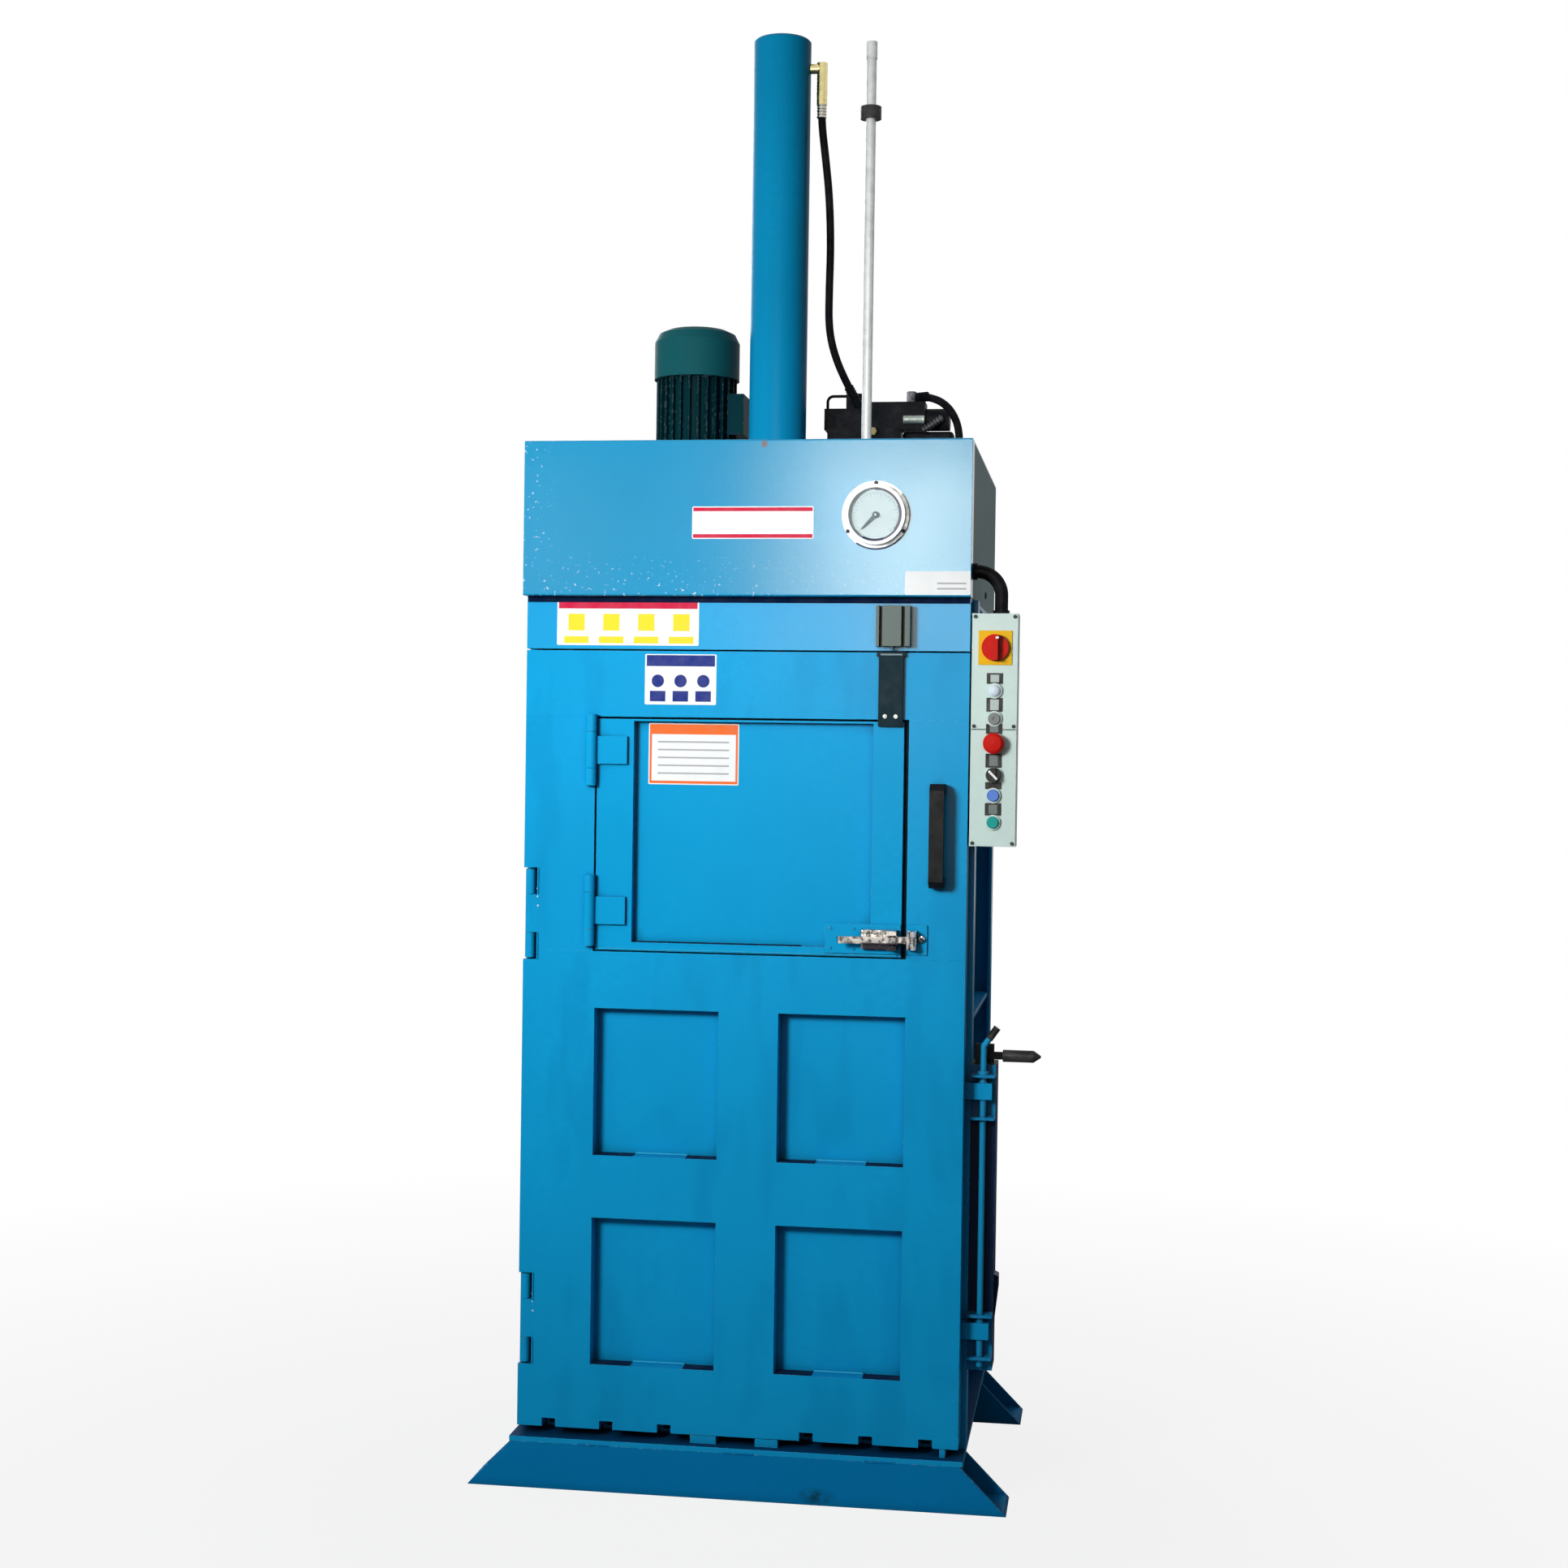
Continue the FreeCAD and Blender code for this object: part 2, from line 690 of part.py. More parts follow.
pump_radius = size("pump_radius", 42)
pump_length = size("pump_length", 90)
bell_radius = size("pump_bell_radius", 58)
bell_length = size("pump_bell_length", 42)
shaft_drop = size("shaft_drop", 36)
pump_low = cover_top - cover_sheet - bell_length - pump_length
turned("pump",
       [(0, 0), (pump_radius, 0), (pump_radius, pump_length), (bell_radius, pump_length),
        (bell_radius, pump_length + bell_length),
        (shaft_radius + fit_gap, pump_length + bell_length),
        (shaft_radius + fit_gap, pump_length), (0, pump_length)],
       (motor_x, motor_y, pump_low))

motor_length = size("motor_length", 197)
motor_body_top = cover_top + motor_length
motor_core = size("motor_core_radius", 76)
motor_fin = size("motor_fin_radius", 84)
motor_flange = size("motor_flange_radius", 96)
motor_flange_thickness = size("motor_flange_thickness", 14)
fin_width = size("fin_width", 3)
fin_root = size("fin_root", 6)
motor_rim = size("motor_rim", 8)
fin_count = 28
motor_height = motor_body_top - cover_top
motor = turned("motor_housing",
               [(shaft_radius + fit_gap, 0), (motor_flange, 0),
                (motor_flange, motor_flange_thickness), (motor_core, motor_flange_thickness),
                (motor_core, motor_height - motor_rim), (motor_fin, motor_height - motor_rim),
                (motor_fin, motor_height), (shaft_radius + fit_gap, motor_height)],
               (motor_x, motor_y, cover_top))
fin = add_pad(motor, "XY", [rectangle(motor_core - fin_root, -fin_width / 2, motor_fin,
                                      fin_width / 2)],
              motor_height - motor_rim - motor_flange_thickness, motor_flange_thickness)
fins = motor.newObject("PartDesign::PolarPattern", "motor_housing_fins")
fins.Originals = [fin]
fins.Axis = (origin_feature(motor, "Z_Axis"), [""])
fins.Angle = 360
fins.Occurrences = fin_count
motor.Tip = fins

# The fan cowl is a spun cup with a domed top, pressed over the rim of the housing.
cowl_radius = size("cowl_radius", 89)
cowl_wall = size("cowl_wall", 2.5)
cowl_overlap = size("cowl_overlap", 7)
cowl_rise = size("cowl_rise", 96)
cowl_top = motor_body_top + cowl_rise
cowl_dome = size("cowl_dome", 26)
cowl_shoulder_in = size("cowl_shoulder_in", 9)
cowl_shoulder_down = size("cowl_shoulder_down", 8)
cowl_height = cowl_top - motor_body_top + cowl_overlap
cowl_play = size("cowl_play", 1.2)
cowl_inner = motor_fin + cowl_play
cowl = turned("fan_cowl",
              [(cowl_radius, 0), (cowl_radius, cowl_height - cowl_dome),
               (cowl_radius - cowl_shoulder_in, cowl_height - cowl_shoulder_down),
               (cowl_radius - cowl_dome, cowl_height), (0, cowl_height),
               (0, cowl_height - cowl_wall),
               (cowl_radius - cowl_dome - cowl_wall, cowl_height - cowl_wall),
               (cowl_inner, cowl_height - cowl_dome), (cowl_inner, 0)],
              (motor_x, motor_y, motor_body_top - cowl_overlap))
slot_inner = size("cowl_slot_inner", 18)
slot_outer = size("cowl_slot_outer", 58)
slot_width = size("cowl_slot_width", 6)
slot_depth = size("cowl_slot_depth", 7.5)
cowl_slots = 12
slot = add_pocket(cowl, "XY", [rectangle(slot_inner, -slot_width / 2, slot_outer,
                                         slot_width / 2)],
                  slot_depth, cowl_height - slot_depth / 2)
slots = cowl.newObject("PartDesign::PolarPattern", "fan_cowl_slots")
slots.Originals = [slot]
slots.Axis = (origin_feature(cowl, "Z_Axis"), [""])
slots.Angle = 360
slots.Occurrences = cowl_slots
cowl.Tip = slots

# The rotor shows as its shaft and, under the cowl, a fan with straight blades.
fan_low = size("fan_low", 12)
fan_height = size("fan_height", 34)
fan_radius = size("fan_radius", 74)
fan_disc = size("fan_disc", 4)
blade_width = size("fan_blade_width", 3)
fan_blades = 8
shaft_low = cover_top - cover_sheet - shaft_drop
rotor = turned("motor_rotor",
               [(0, 0), (shaft_radius, 0), (shaft_radius, motor_body_top + fan_low - shaft_low),
                (fan_radius, motor_body_top + fan_low - shaft_low),
                (fan_radius, motor_body_top + fan_low + fan_disc - shaft_low),
                (shaft_radius * 2, motor_body_top + fan_low + fan_disc - shaft_low),
                (shaft_radius * 2, motor_body_top + fan_low + fan_height - shaft_low),
                (0, motor_body_top + fan_low + fan_height - shaft_low)],
               (motor_x, motor_y, shaft_low))
blade = add_pad(rotor, "XY", [rectangle(shaft_radius, -blade_width / 2, fan_radius,
                                        blade_width / 2)],
                fan_height - fan_disc, motor_body_top + fan_low + fan_disc - shaft_low)
blades = rotor.newObject("PartDesign::PolarPattern", "motor_rotor_blades")
blades.Originals = [blade]
blades.Axis = (origin_feature(rotor, "Z_Axis"), [""])
blades.Angle = 360
blades.Occurrences = fan_blades
rotor.Tip = blades

# The terminal box is cast on the side of the housing.
terminal_out = size("terminal_box_out", 106)
terminal_width = size("terminal_box_width", 76)
terminal_low = size("terminal_box_low", 73)
terminal_height = size("terminal_box_height", 84)
add_pad(motor, "XY", [rectangle(motor_core - edge_break, -terminal_width / 2,
                                terminal_out, terminal_width / 2)],
        terminal_height, terminal_low)

# Valves: a manifold on the deck, with a valve across it and its coil at the right-hand end. A
# stepped inlet block stands at its left, with a bent drain pipe over it.
manifold_x = size("manifold_x", 92)
manifold_width = size("manifold_width", 150)
manifold_depth = size("manifold_depth", 96)
manifold_back = size("manifold_back", 82)
manifold_y = cylinder_back + manifold_back
manifold_height = size("manifold_height", 88)
valve_offset = size("valve_offset", 81)
valve_x = manifold_x + valve_offset
valve_length = size("valve_length", 120)
valve_height = size("valve_height", 58)
valve_width = size("valve_width", 50)
coil_radius = size("coil_radius", 23)
coil_length = size("coil_length", 50)
plug_radius = size("valve_plug_radius", 10)
plug_height = size("valve_plug_height", 24)
outlet_length = size("valve_outlet_length", 13.6)
outlet_radius = size("valve_outlet_radius", 8.5)
inlet_inset = size("inlet_block_inset", 9)
inlet_left = manifold_x - inlet_inset
inlet_width = size("inlet_block_width", 85)
inlet_depth = size("inlet_block_depth", 60)
inlet_height = size("inlet_block_height", 44)
relief_offset = size("relief_block_offset", 44)
relief_left = inlet_left + relief_offset
relief_width = size("relief_block_width", 34)
relief_height = size("relief_block_height", 33)
drain_radius = size("drain_pipe_radius", 3)
drain_bend = size("drain_pipe_bend", 12)
drain_rise = size("drain_pipe_rise", 18)
port_radius = size("hose_port_radius", 11)
fitting_radius = size("hose_fitting_radius", 10)
fitting_length = size("hose_fitting_length", 31.7)
valve_y = manifold_y + manifold_depth / 2
manifold_top = cover_top + manifold_height
valve_top = manifold_top + valve_height

pressure_hose_radius = size("pressure_hose_radius", 8)
pressure_route = [(82, 360, 2737), (82, 360, 2703), (90, 362, 2638), (99, 368, 2557),
                  (102, 380, 2460), (98, 395, 2364), (96, 410, 2300), (103, 425, 2253),
                  (122, 442, 2201), (146, 461, 2156)]
rod_side_hose_radius = size("rod_side_hose_radius", 8)
rod_side_route = [(274, 483.6, 2160), (284.6, 478, 2160), (303.9, 467.7, 2157.1),
                  (326.9, 455.5, 2146.9), (346.1, 445.3, 2129.2), (359.7, 438, 2105.9),
                  (366.5, 434.4, 2079), (367.7, 433.8, 2040), (367.7, 433.8, 2003)]

# The hose's lower fitting lies along the hose and turns down into the manifold.
hose_end = Vector(*pressure_route[-1])
hose_way = (hose_end - Vector(*pressure_route[-2])).normalize()
fitting_foot = hose_end + hose_way * fitting_length.number
inlet_top = manifold_top + inlet_height
relief_right = relief_left + relief_width
drain_x = inlet_left + drain_radius
drain_turn = doc.addObject("Part::Torus", "drain_turn")
bind(drain_turn, "Radius1", drain_bend)
bind(drain_turn, "Radius2", drain_radius)
drain_turn.Angle3 = 90
place(drain_turn, (drain_x + drain_bend, valve_y, inlet_top + drain_rise),
      FreeCAD.Rotation(Vector(0, 0, 1), 180) * FreeCAD.Rotation(Vector(1, 0, 0), 90))
fused("valve_manifold",
      [block("manifold_block", (manifold_x, manifold_y, cover_top),
             (manifold_x + manifold_width, manifold_y + manifold_depth, manifold_top)),
       block("inlet_block", (inlet_left, valve_y - inlet_depth / 2, manifold_top),
             (inlet_left + inlet_width, valve_y + inlet_depth / 2, inlet_top)),
       block("relief_block", (relief_left, valve_y - relief_width / 2, inlet_top),
             (relief_right, valve_y + relief_width / 2, inlet_top + relief_height)),
       bar("drain_riser", (drain_x, valve_y, inlet_top), drain_radius, drain_rise), drain_turn,
       bar("drain_run", (drain_x + drain_bend, valve_y, inlet_top + drain_rise + drain_bend),
           drain_radius, relief_left - drain_x - drain_bend, "X"),
       bar("manifold_port", (fitting_foot.x, fitting_foot.y, manifold_top), port_radius,
           fitting_foot.z - manifold_top),
       slanted_bar("manifold_fitting", tuple(fitting_foot), tuple(hose_end), fitting_radius)])

# The valve's outlet is a short spigot on a six-sided plug, in line with the hose's first run.
outlet_end = Vector(*rod_side_route[0])
outlet_way = (Vector(*rod_side_route[1]) - outlet_end).normalize()
outlet_foot = outlet_end - outlet_way * outlet_length.number
plug = doc.addObject("Part::Prism", "valve_plug")
plug.Polygon = 6
bind(plug, "Circumradius", plug_radius)
bind(plug, "Height", plug_height)
place(plug, (outlet_foot.x, outlet_foot.y, valve_top))
fused("solenoid_valve",
      [block("valve_body", (valve_x, valve_y - valve_width / 2, manifold_top),
             (valve_x + valve_length, valve_y + valve_width / 2, valve_top)),
       bar("valve_coil", (valve_x + valve_length, valve_y, manifold_top + coil_radius),
           coil_radius, coil_length, "X"), plug,
       slanted_bar("valve_outlet", tuple(outlet_foot), tuple(outlet_end), outlet_radius)])

elbow_radius = size("port_elbow_radius", 11)
elbow_inlet = size("port_elbow_inlet_radius", 10)
elbow_drop = size("port_elbow_drop", 47)
elbow_high = cylinder_top - elbow_drop
elbow_reach = size("port_elbow_reach", 23.5)
elbow_x = tube_radius + elbow_reach
port_elbow_height = size("port_elbow_height", 85)
elbow_low = elbow_high - port_elbow_height
elbow_level = elbow_high - elbow_radius
fused("port_elbow",
      [bar("elbow_inlet", (tube_radius + seat_gap, cylinder_back, elbow_level),
           elbow_inlet, elbow_x - tube_radius - seat_gap, "X"),
       bar("elbow_outlet", (elbow_x, cylinder_back, elbow_low), elbow_radius,
           elbow_high - elbow_low)])


SHARE_OF_RUN = 0.45


def hose(label, route, radius):
    """A round hose in straight runs that are joined by tangent arcs."""
    points = [Vector(*p) for p in route]
    edges = []
    radii = []
    last = points[0]
    for before, corner, after in zip(points, points[1:], points[2:]):
        way_in = (corner - before).normalize()
        way_out = (after - corner).normalize()
        half_turn = way_in.getAngle(way_out) / 2
        setback = SHARE_OF_RUN * min((corner - before).Length, (after - corner).Length)
        bend = setback / math.tan(half_turn)
        inward = (way_out - way_in).normalize()
        start = corner - way_in * setback
        end = corner + way_out * setback
        middle = corner + inward * (bend / math.cos(half_turn) - bend)
        edges.append(Part.makeLine(last, start))
        edges.append(Part.Arc(start, middle, end).toShape())
        radii.append(round(bend))
        last = end
    edges.append(Part.makeLine(last, points[-1]))
    spine = Part.Wire(edges)
    ring = Part.Circle(points[0], points[1] - points[0], radius.number).toShape()
    solid = spine.makePipeShell([Part.Wire([ring])], True, True)
    cord = doc.addObject("Part::Feature", label)
    cord.Shape = solid
    section = math.pi * radius.number ** 2
    print(label, "radii", radii, "volume ratio",
          round(solid.Volume / (section * spine.Length), 4))
    return cord


hose("pressure_hose", pressure_route, pressure_hose_radius)
hose("rod_side_hose", rod_side_route, rod_side_hose_radius)

# ---------------------------------------------------------------- pressure gauge

gauge_inset = size("gauge_inset", 178.5)
gauge_x = cover_half - gauge_inset
gauge_rise = size("gauge_rise", 151)
gauge_z = roof_level + gauge_rise
gauge_flange = size("gauge_flange_radius", 64)
gauge_bezel = size("gauge_bezel_radius", 56)
gauge_window = size("gauge_window_radius", 50)
gauge_depth = size("gauge_depth", 18)
gauge_dial = size("gauge_dial_depth", 12)
gauge_flange_thickness = size("gauge_flange_thickness", 3)
gauge_pin = size("gauge_pin_radius", 2)
gauge_pin_front = size("gauge_pin_front", 5)
lens_front = size("gauge_lens_front", 2)
lens_thickness = size("gauge_lens_thickness", 2)
needle_front = size("gauge_needle_front", 7)
needle_thickness = size("gauge_needle_thickness", 2)
needle_hub = size("gauge_needle_hub", 6)
needle_length = size("gauge_needle_length", 38)
gauge_front = -cover_lead - gauge_depth
turned("gauge_case",
       [(0, gauge_pin_front), (gauge_pin, gauge_pin_front), (gauge_pin, gauge_dial),
        (gauge_window, gauge_dial), (gauge_window, 0), (gauge_bezel, 0),
        (gauge_bezel, gauge_depth - gauge_flange_thickness),
        (gauge_flange, gauge_depth - gauge_flange_thickness), (gauge_flange, gauge_depth),
        (0, gauge_depth)], (gauge_x, gauge_front, gauge_z), "Y")
bar("gauge_lens", (gauge_x, gauge_front + lens_front, gauge_z), gauge_window - fit_gap,
    lens_thickness, "Y")
needle_y = gauge_front + needle_front
needle = place(doc.addObject("PartDesign::Body", "gauge_needle"), (gauge_x, needle_y, gauge_z))
add_pad(needle, "XZ", [Disc(0, 0, needle_hub)], needle_thickness)
needle_tip = size("gauge_needle_tip", 1)
needle_tail = size("gauge_needle_tail", 3)
needle_half = size("gauge_needle_half_width", 2)
slope = needle_length * math.sqrt(0.5)
add_pad(needle, "XZ", [[(needle_tail, -needle_half), (-needle_half, needle_tail),
                        (-slope, needle_tip - slope), (needle_tip - slope, -slope)]],
        needle_thickness)
add_pocket(needle, "XZ", [Disc(0, 0, gauge_pin + fit_gap)], needle_thickness)

# ---------------------------------------------------------------- main door

recess_depth = size("door_recess_depth", 35)
left_stile = size("door_left_stile", 142)
right_stile = size("door_right_stile", 111)
middle_stile = size("door_middle_stile", 115)
recess_height = size("door_recess_height", 282)
door_half = door_width / 2
recess_width = (door_width - left_stile - middle_stile - right_stile) / 2
recess_left = left_stile - door_half
recess_right = recess_left + recess_width + middle_stile
door_bottom_rail = size("door_bottom_rail", 124)
recess_lower = door_bottom + door_bottom_rail
door_middle_rail = size("door_middle_rail", 120)
recess_upper = recess_lower + recess_height + door_middle_rail
feed_rebate_inset_left = size("feed_rebate_inset_left", 137)
rebate_left = feed_rebate_inset_left - door_half
feed_rebate_inset_right = size("feed_rebate_inset_right", 112)
rebate_right = door_half - feed_rebate_inset_right
door_feed_rail = size("door_feed_rail", 109)
rebate_low = recess_upper + recess_height + door_feed_rail
door_top_rail = size("door_top_rail", 126)
rebate_high = door_top - door_top_rail
rebate_depth = size("feed_rebate_depth", 43)
rebate_ledge_x = size("feed_ledge_side", 25)
rebate_ledge_z = size("feed_ledge_end", 21)
notch_height = size("door_notch_height", 16)
door_groove = size("door_groove_depth", 13)

door_hinge_inset = size("door_hinge_inset", 11)
door_hinge_x = door_hinge_inset - door_half
door_hinge_y = size("door_hinge_y", 12)
door_barrel = size("door_barrel_radius", 10)
door_pin = size("door_pin_radius", 5)
hinge_height = size("door_hinge_height", 170)
knuckle_height = size("door_knuckle_height", 48)
knuckle_gap = size("knuckle_gap", 0.5)
lower_hinge_rise = size("lower_hinge_rise", 206.5)
lower_hinge_level = door_bottom + lower_hinge_rise
hinge_spacing = size("hinge_spacing", 780)
hinge_levels = (lower_hinge_level + hinge_spacing, lower_hinge_level)
hinge_notch = size("hinge_notch", 28)
hinge_notch_gap = size("hinge_notch_gap", 3)

door = prism("door_plate", "XZ", [rectangle(-door_half, door_bottom, door_half, door_top)], 0,
             door_thickness)
for recess_x in (recess_left, recess_right):
    for recess_z in (recess_upper, recess_lower):
        add_pocket(door, "XZ", [rectangle(recess_x, recess_z, recess_x + recess_width,
                                          recess_z + recess_height)], recess_depth)
add_pocket(door, "XZ", [rectangle(rebate_left, rebate_low, rebate_right, rebate_high)],
           door_thickness)
add_pocket(door, "XZ", [rectangle(x - channel_width / 2, door_bottom, x + channel_width / 2,
                                  door_bottom + notch_height) for x in channel_places],
           door_thickness)
add_pocket(door, "XZ", [rectangle(x - channel_width / 2, door_bottom, x + channel_width / 2,
                                  door_top) for x in channel_places],
           door_groove, door_thickness - door_groove)
for level in hinge_levels:
    low = level - hinge_height / 2
    add_pocket(door, "XZ", [rectangle(-door_half, low - hinge_notch_gap,
                                      hinge_notch - door_half,
                                      low + hinge_height + hinge_notch_gap)], door_thickness)
for level in hinge_levels:
    low = level - hinge_height / 2 + knuckle_height + knuckle_gap
    high = hinge_height - 2 * knuckle_height - 2 * knuckle_gap
    add_pad(door, "XY", [rectangle(door_hinge_x, door_hinge_y - door_barrel,
                                   hinge_notch + edge_break - door_half,
                                   door_hinge_y + door_barrel)], high, low)
    add_pad(door, "XY", [Disc(door_hinge_x, door_hinge_y, door_barrel)], high, low)
    add_pocket(door, "XY", [Disc(door_hinge_x, door_hinge_y, door_pin + fit_gap)], high, low)

# It is a weldment: a pressed lower panel, two stiles and a top rail round the feed opening.
group("main_door",
      [inside("door_lower_panel", door, (-door_half, 0, door_bottom),
              (door_half, door_thickness, rebate_low)),
       inside("door_hinge_stile", door, (-door_half, 0, rebate_low),
              (rebate_left, door_thickness, rebate_high)),
       inside("door_latch_stile", door, (rebate_right, 0, rebate_low),
              (door_half, door_thickness, rebate_high)),
       inside("door_top_rail", door, (-door_half, 0, rebate_high),
              (door_half, door_thickness, door_top))])

# A ring of flat bar is welded in the opening as the stop that the feed door shuts against.
stop_thickness = door_thickness - rebate_depth
stops = prism("feed_stops", "XZ",
              [rectangle(rebate_left, rebate_low, rebate_right, rebate_high),
               rectangle(rebate_left + rebate_ledge_x, rebate_low + rebate_ledge_z,
                         rebate_right - rebate_ledge_x, rebate_high - rebate_ledge_z)],
              rebate_depth, stop_thickness)
add_pocket(stops, "XZ", [rectangle(x - channel_width / 2, rebate_low, x + channel_width / 2,
                                   rebate_high) for x in channel_places
                         if rebate_left.number < x.number < rebate_right.number],
           door_groove, stop_thickness - door_groove)


def body_hinge(label, level):
    """Two end knuckles and their pin, on straps that are welded to the jamb."""
    low = level - hinge_height / 2
    parts = [bar(label + "_pin", (door_hinge_x, door_hinge_y, low), door_pin, hinge_height)]
    for start in (low, low + hinge_height - knuckle_height):
        parts.append(bar(label + "_knuckle", (door_hinge_x, door_hinge_y, start), door_barrel,
                         knuckle_height))
        parts.append(block(label + "_strap",
                           (door_hinge_x - door_barrel, door_hinge_y, start),
                           (door_hinge_x + door_barrel, body_front, start + knuckle_height)))
    return fused(label, parts)


group("body_hinges", [body_hinge("upper_body_hinge", hinge_levels[0]),
                      body_hinge("lower_body_hinge", hinge_levels[1])])

# A bent grab handle, blacked, stands on the door to the right of the feed opening.
handle_inset = size("handle_inset", 69)
handle_x = door_half - handle_inset
handle_width = size("handle_width", 27)
handle_rise = size("handle_rise", 136)
handle_low = rebate_low + handle_rise
handle_length = size("handle_length", 194)
handle_high = handle_low + handle_length
handle_reach = size("handle_reach", 40)
handle_grip = size("handle_grip", 16)
handle_foot = size("handle_foot", 20)
handle_slope = size("handle_slope", 12)
handle_inner = handle_grip - handle_reach
prism("pull_handle", "YZ",
      [[(0, handle_low), (handle_slope - handle_reach, handle_low),
        (-handle_reach, handle_low + handle_slope), (-handle_reach, handle_high - handle_slope),
        (handle_slope - handle_reach, handle_high), (0, handle_high),
        (0, handle_high - handle_foot), (handle_inner + edge_break, handle_high - handle_foot),
        (handle_inner, handle_high - handle_foot - edge_break),
        (handle_inner, handle_low + handle_foot + edge_break),
        (handle_inner + edge_break, handle_low + handle_foot), (0, handle_low + handle_foot)]],
      handle_x, handle_width)

# ---------------------------------------------------------------- feed door

leaf_gap_left = size("leaf_gap_left", 4)
leaf_left = rebate_left + leaf_gap_left
leaf_gap_right = size("leaf_gap_right", 9)
leaf_right = rebate_right - leaf_gap_right
leaf_gap_low = size("leaf_gap_low", 3)
leaf_low = rebate_low + leaf_gap_low
leaf_gap_high = size("leaf_gap_high", 4)
leaf_high = rebate_high - leaf_gap_high
leaf_thickness = rebate_depth - seat_gap
feed_pan_margin_left = size("feed_pan_margin_left", 71)
pan_left = leaf_left + feed_pan_margin_left
feed_pan_margin_right = size("feed_pan_margin_right", 58)
pan_right = leaf_right - feed_pan_margin_right
feed_pan_margin_low = size("feed_pan_margin_low", 16)
pan_low = leaf_low + feed_pan_margin_low
feed_pan_margin_high = size("feed_pan_margin_high", 4)
pan_high = leaf_high - feed_pan_margin_high
pan_depth = size("feed_pan_depth", 20)
leaf = prism("feed_door", "XZ", [rectangle(leaf_left, leaf_low, leaf_right, leaf_high)], 0,
             leaf_thickness)
add_pocket(leaf, "XZ", [rectangle(pan_left, pan_low, pan_right, pan_high)], pan_depth)

feed_barrel = size("feed_barrel_radius", 10.5)
feed_axis_outset = size("feed_axis_outset", 5.5)
feed_axis_x = rebate_left - feed_axis_outset
feed_axis_gap = size("feed_axis_gap", 0.5)
feed_axis_y = -feed_barrel - feed_axis_gap
feed_pin = size("feed_pin_radius", 4.5)
feed_knuckle = size("feed_knuckle_height", 33)
strap_reach = size("feed_strap_reach", 69)
strap_thickness = size("feed_strap_thickness", 8)
strap_inset = size("feed_strap_inset", 8)
feed_hinge_length = size("feed_hinge_length", 136)
upper_feed_hinge_over = size("upper_feed_hinge_over", 4)
upper_feed_low = rebate_high + upper_feed_hinge_over - feed_hinge_length
lower_feed_hinge_rise = size("lower_feed_hinge_rise", 11)
lower_feed_low = rebate_low + lower_feed_hinge_rise
feed_hinge_spans = ((upper_feed_low, upper_feed_low + feed_hinge_length),
                    (lower_feed_low, lower_feed_low + feed_hinge_length))


def feed_barrels(label, low, high):
    """The door's share of a feed hinge: a pin between two end knuckles with a foot each."""
    parts = [bar(label + "_pin", (feed_axis_x, feed_axis_y, low), feed_pin, high - low)]
    for start in (low, high - feed_knuckle):
        parts.append(bar(label + "_knuckle", (feed_axis_x, feed_axis_y, start), feed_barrel,
                         feed_knuckle))
        parts.append(block(label + "_foot", (feed_axis_x - feed_barrel, feed_axis_y, start),
                           (feed_axis_x, 0, start + feed_knuckle)))
    return fused(label, parts)


def feed_strap(label, low, high):
    """The leaf's share of a feed hinge: the middle knuckle with a flat strap."""
    start = low + feed_knuckle + knuckle_gap
    end = high - feed_knuckle - knuckle_gap
    whole = fused(label + "_whole",
                  [bar(label + "_knuckle", (feed_axis_x, feed_axis_y, start), feed_barrel,
                       end - start),
                   block(label + "_plate", (feed_axis_x, -seat_gap - strap_thickness,
                                            start + strap_inset),
                         (feed_axis_x + strap_reach, -seat_gap, end - strap_inset))])
    return cut(label, whole, [bar(label + "_bore", (feed_axis_x, feed_axis_y, start),
                                  feed_pin + fit_gap, end - start)])


group("feed_hinge_barrels", [feed_barrels("upper_feed_barrels", *feed_hinge_spans[0]),
                             feed_barrels("lower_feed_barrels", *feed_hinge_spans[1])])
group("feed_hinge_straps", [feed_strap("upper_feed_strap", *feed_hinge_spans[0]),
                            feed_strap("lower_feed_strap", *feed_hinge_spans[1])])

# The tongue stands on the leaf's top edge and reaches up to the interlock switch.
tongue_inset = size("tongue_inset", 3)
tongue_right = leaf_right - tongue_inset
tongue_width = size("tongue_width", 46)
tongue_left = tongue_right - tongue_width
tongue_overlap = size("tongue_overlap", 9)
tongue_low = leaf_high - tongue_overlap
tongue_gap = size("tongue_gap", 2)
tongue_high = header_low - tongue_gap
tongue_front = size("tongue_thickness", 8)
tongue_head = size("tongue_head_height", 9)
tongue_lip = size("tongue_head_lip", 4)
tongue_screw = size("tongue_screw_radius", 4)
tongue_screw_length = size("tongue_screw_length", 3)
tongue_screw_head = size("tongue_screw_head", 2)
tongue_screw_rise = size("tongue_screw_rise", 19)
tongue_screw_z = tongue_low + tongue_screw_rise
tongue_screw_inset = size("tongue_screw_inset", 13)
tongue_top_low = tongue_high - tongue_head
fused("interlock_tongue",
      [prism("tongue_plate", "XZ",
             [[(tongue_left, tongue_low), (tongue_right, tongue_low),
               (tongue_right, tongue_top_low), (tongue_right + tongue_lip, tongue_top_low),
               (tongue_right + tongue_lip, tongue_high), (tongue_left - tongue_lip, tongue_high),
               (tongue_left - tongue_lip, tongue_top_low), (tongue_left, tongue_top_low)]],
             -seat_gap - tongue_front, tongue_front)] +
      [bar("tongue_screw", (x, -seat_gap - tongue_front - tongue_screw_head, tongue_screw_z),
           tongue_screw, tongue_screw_length, "Y")
       for x in (tongue_left + tongue_screw_inset, tongue_right - tongue_screw_inset)])

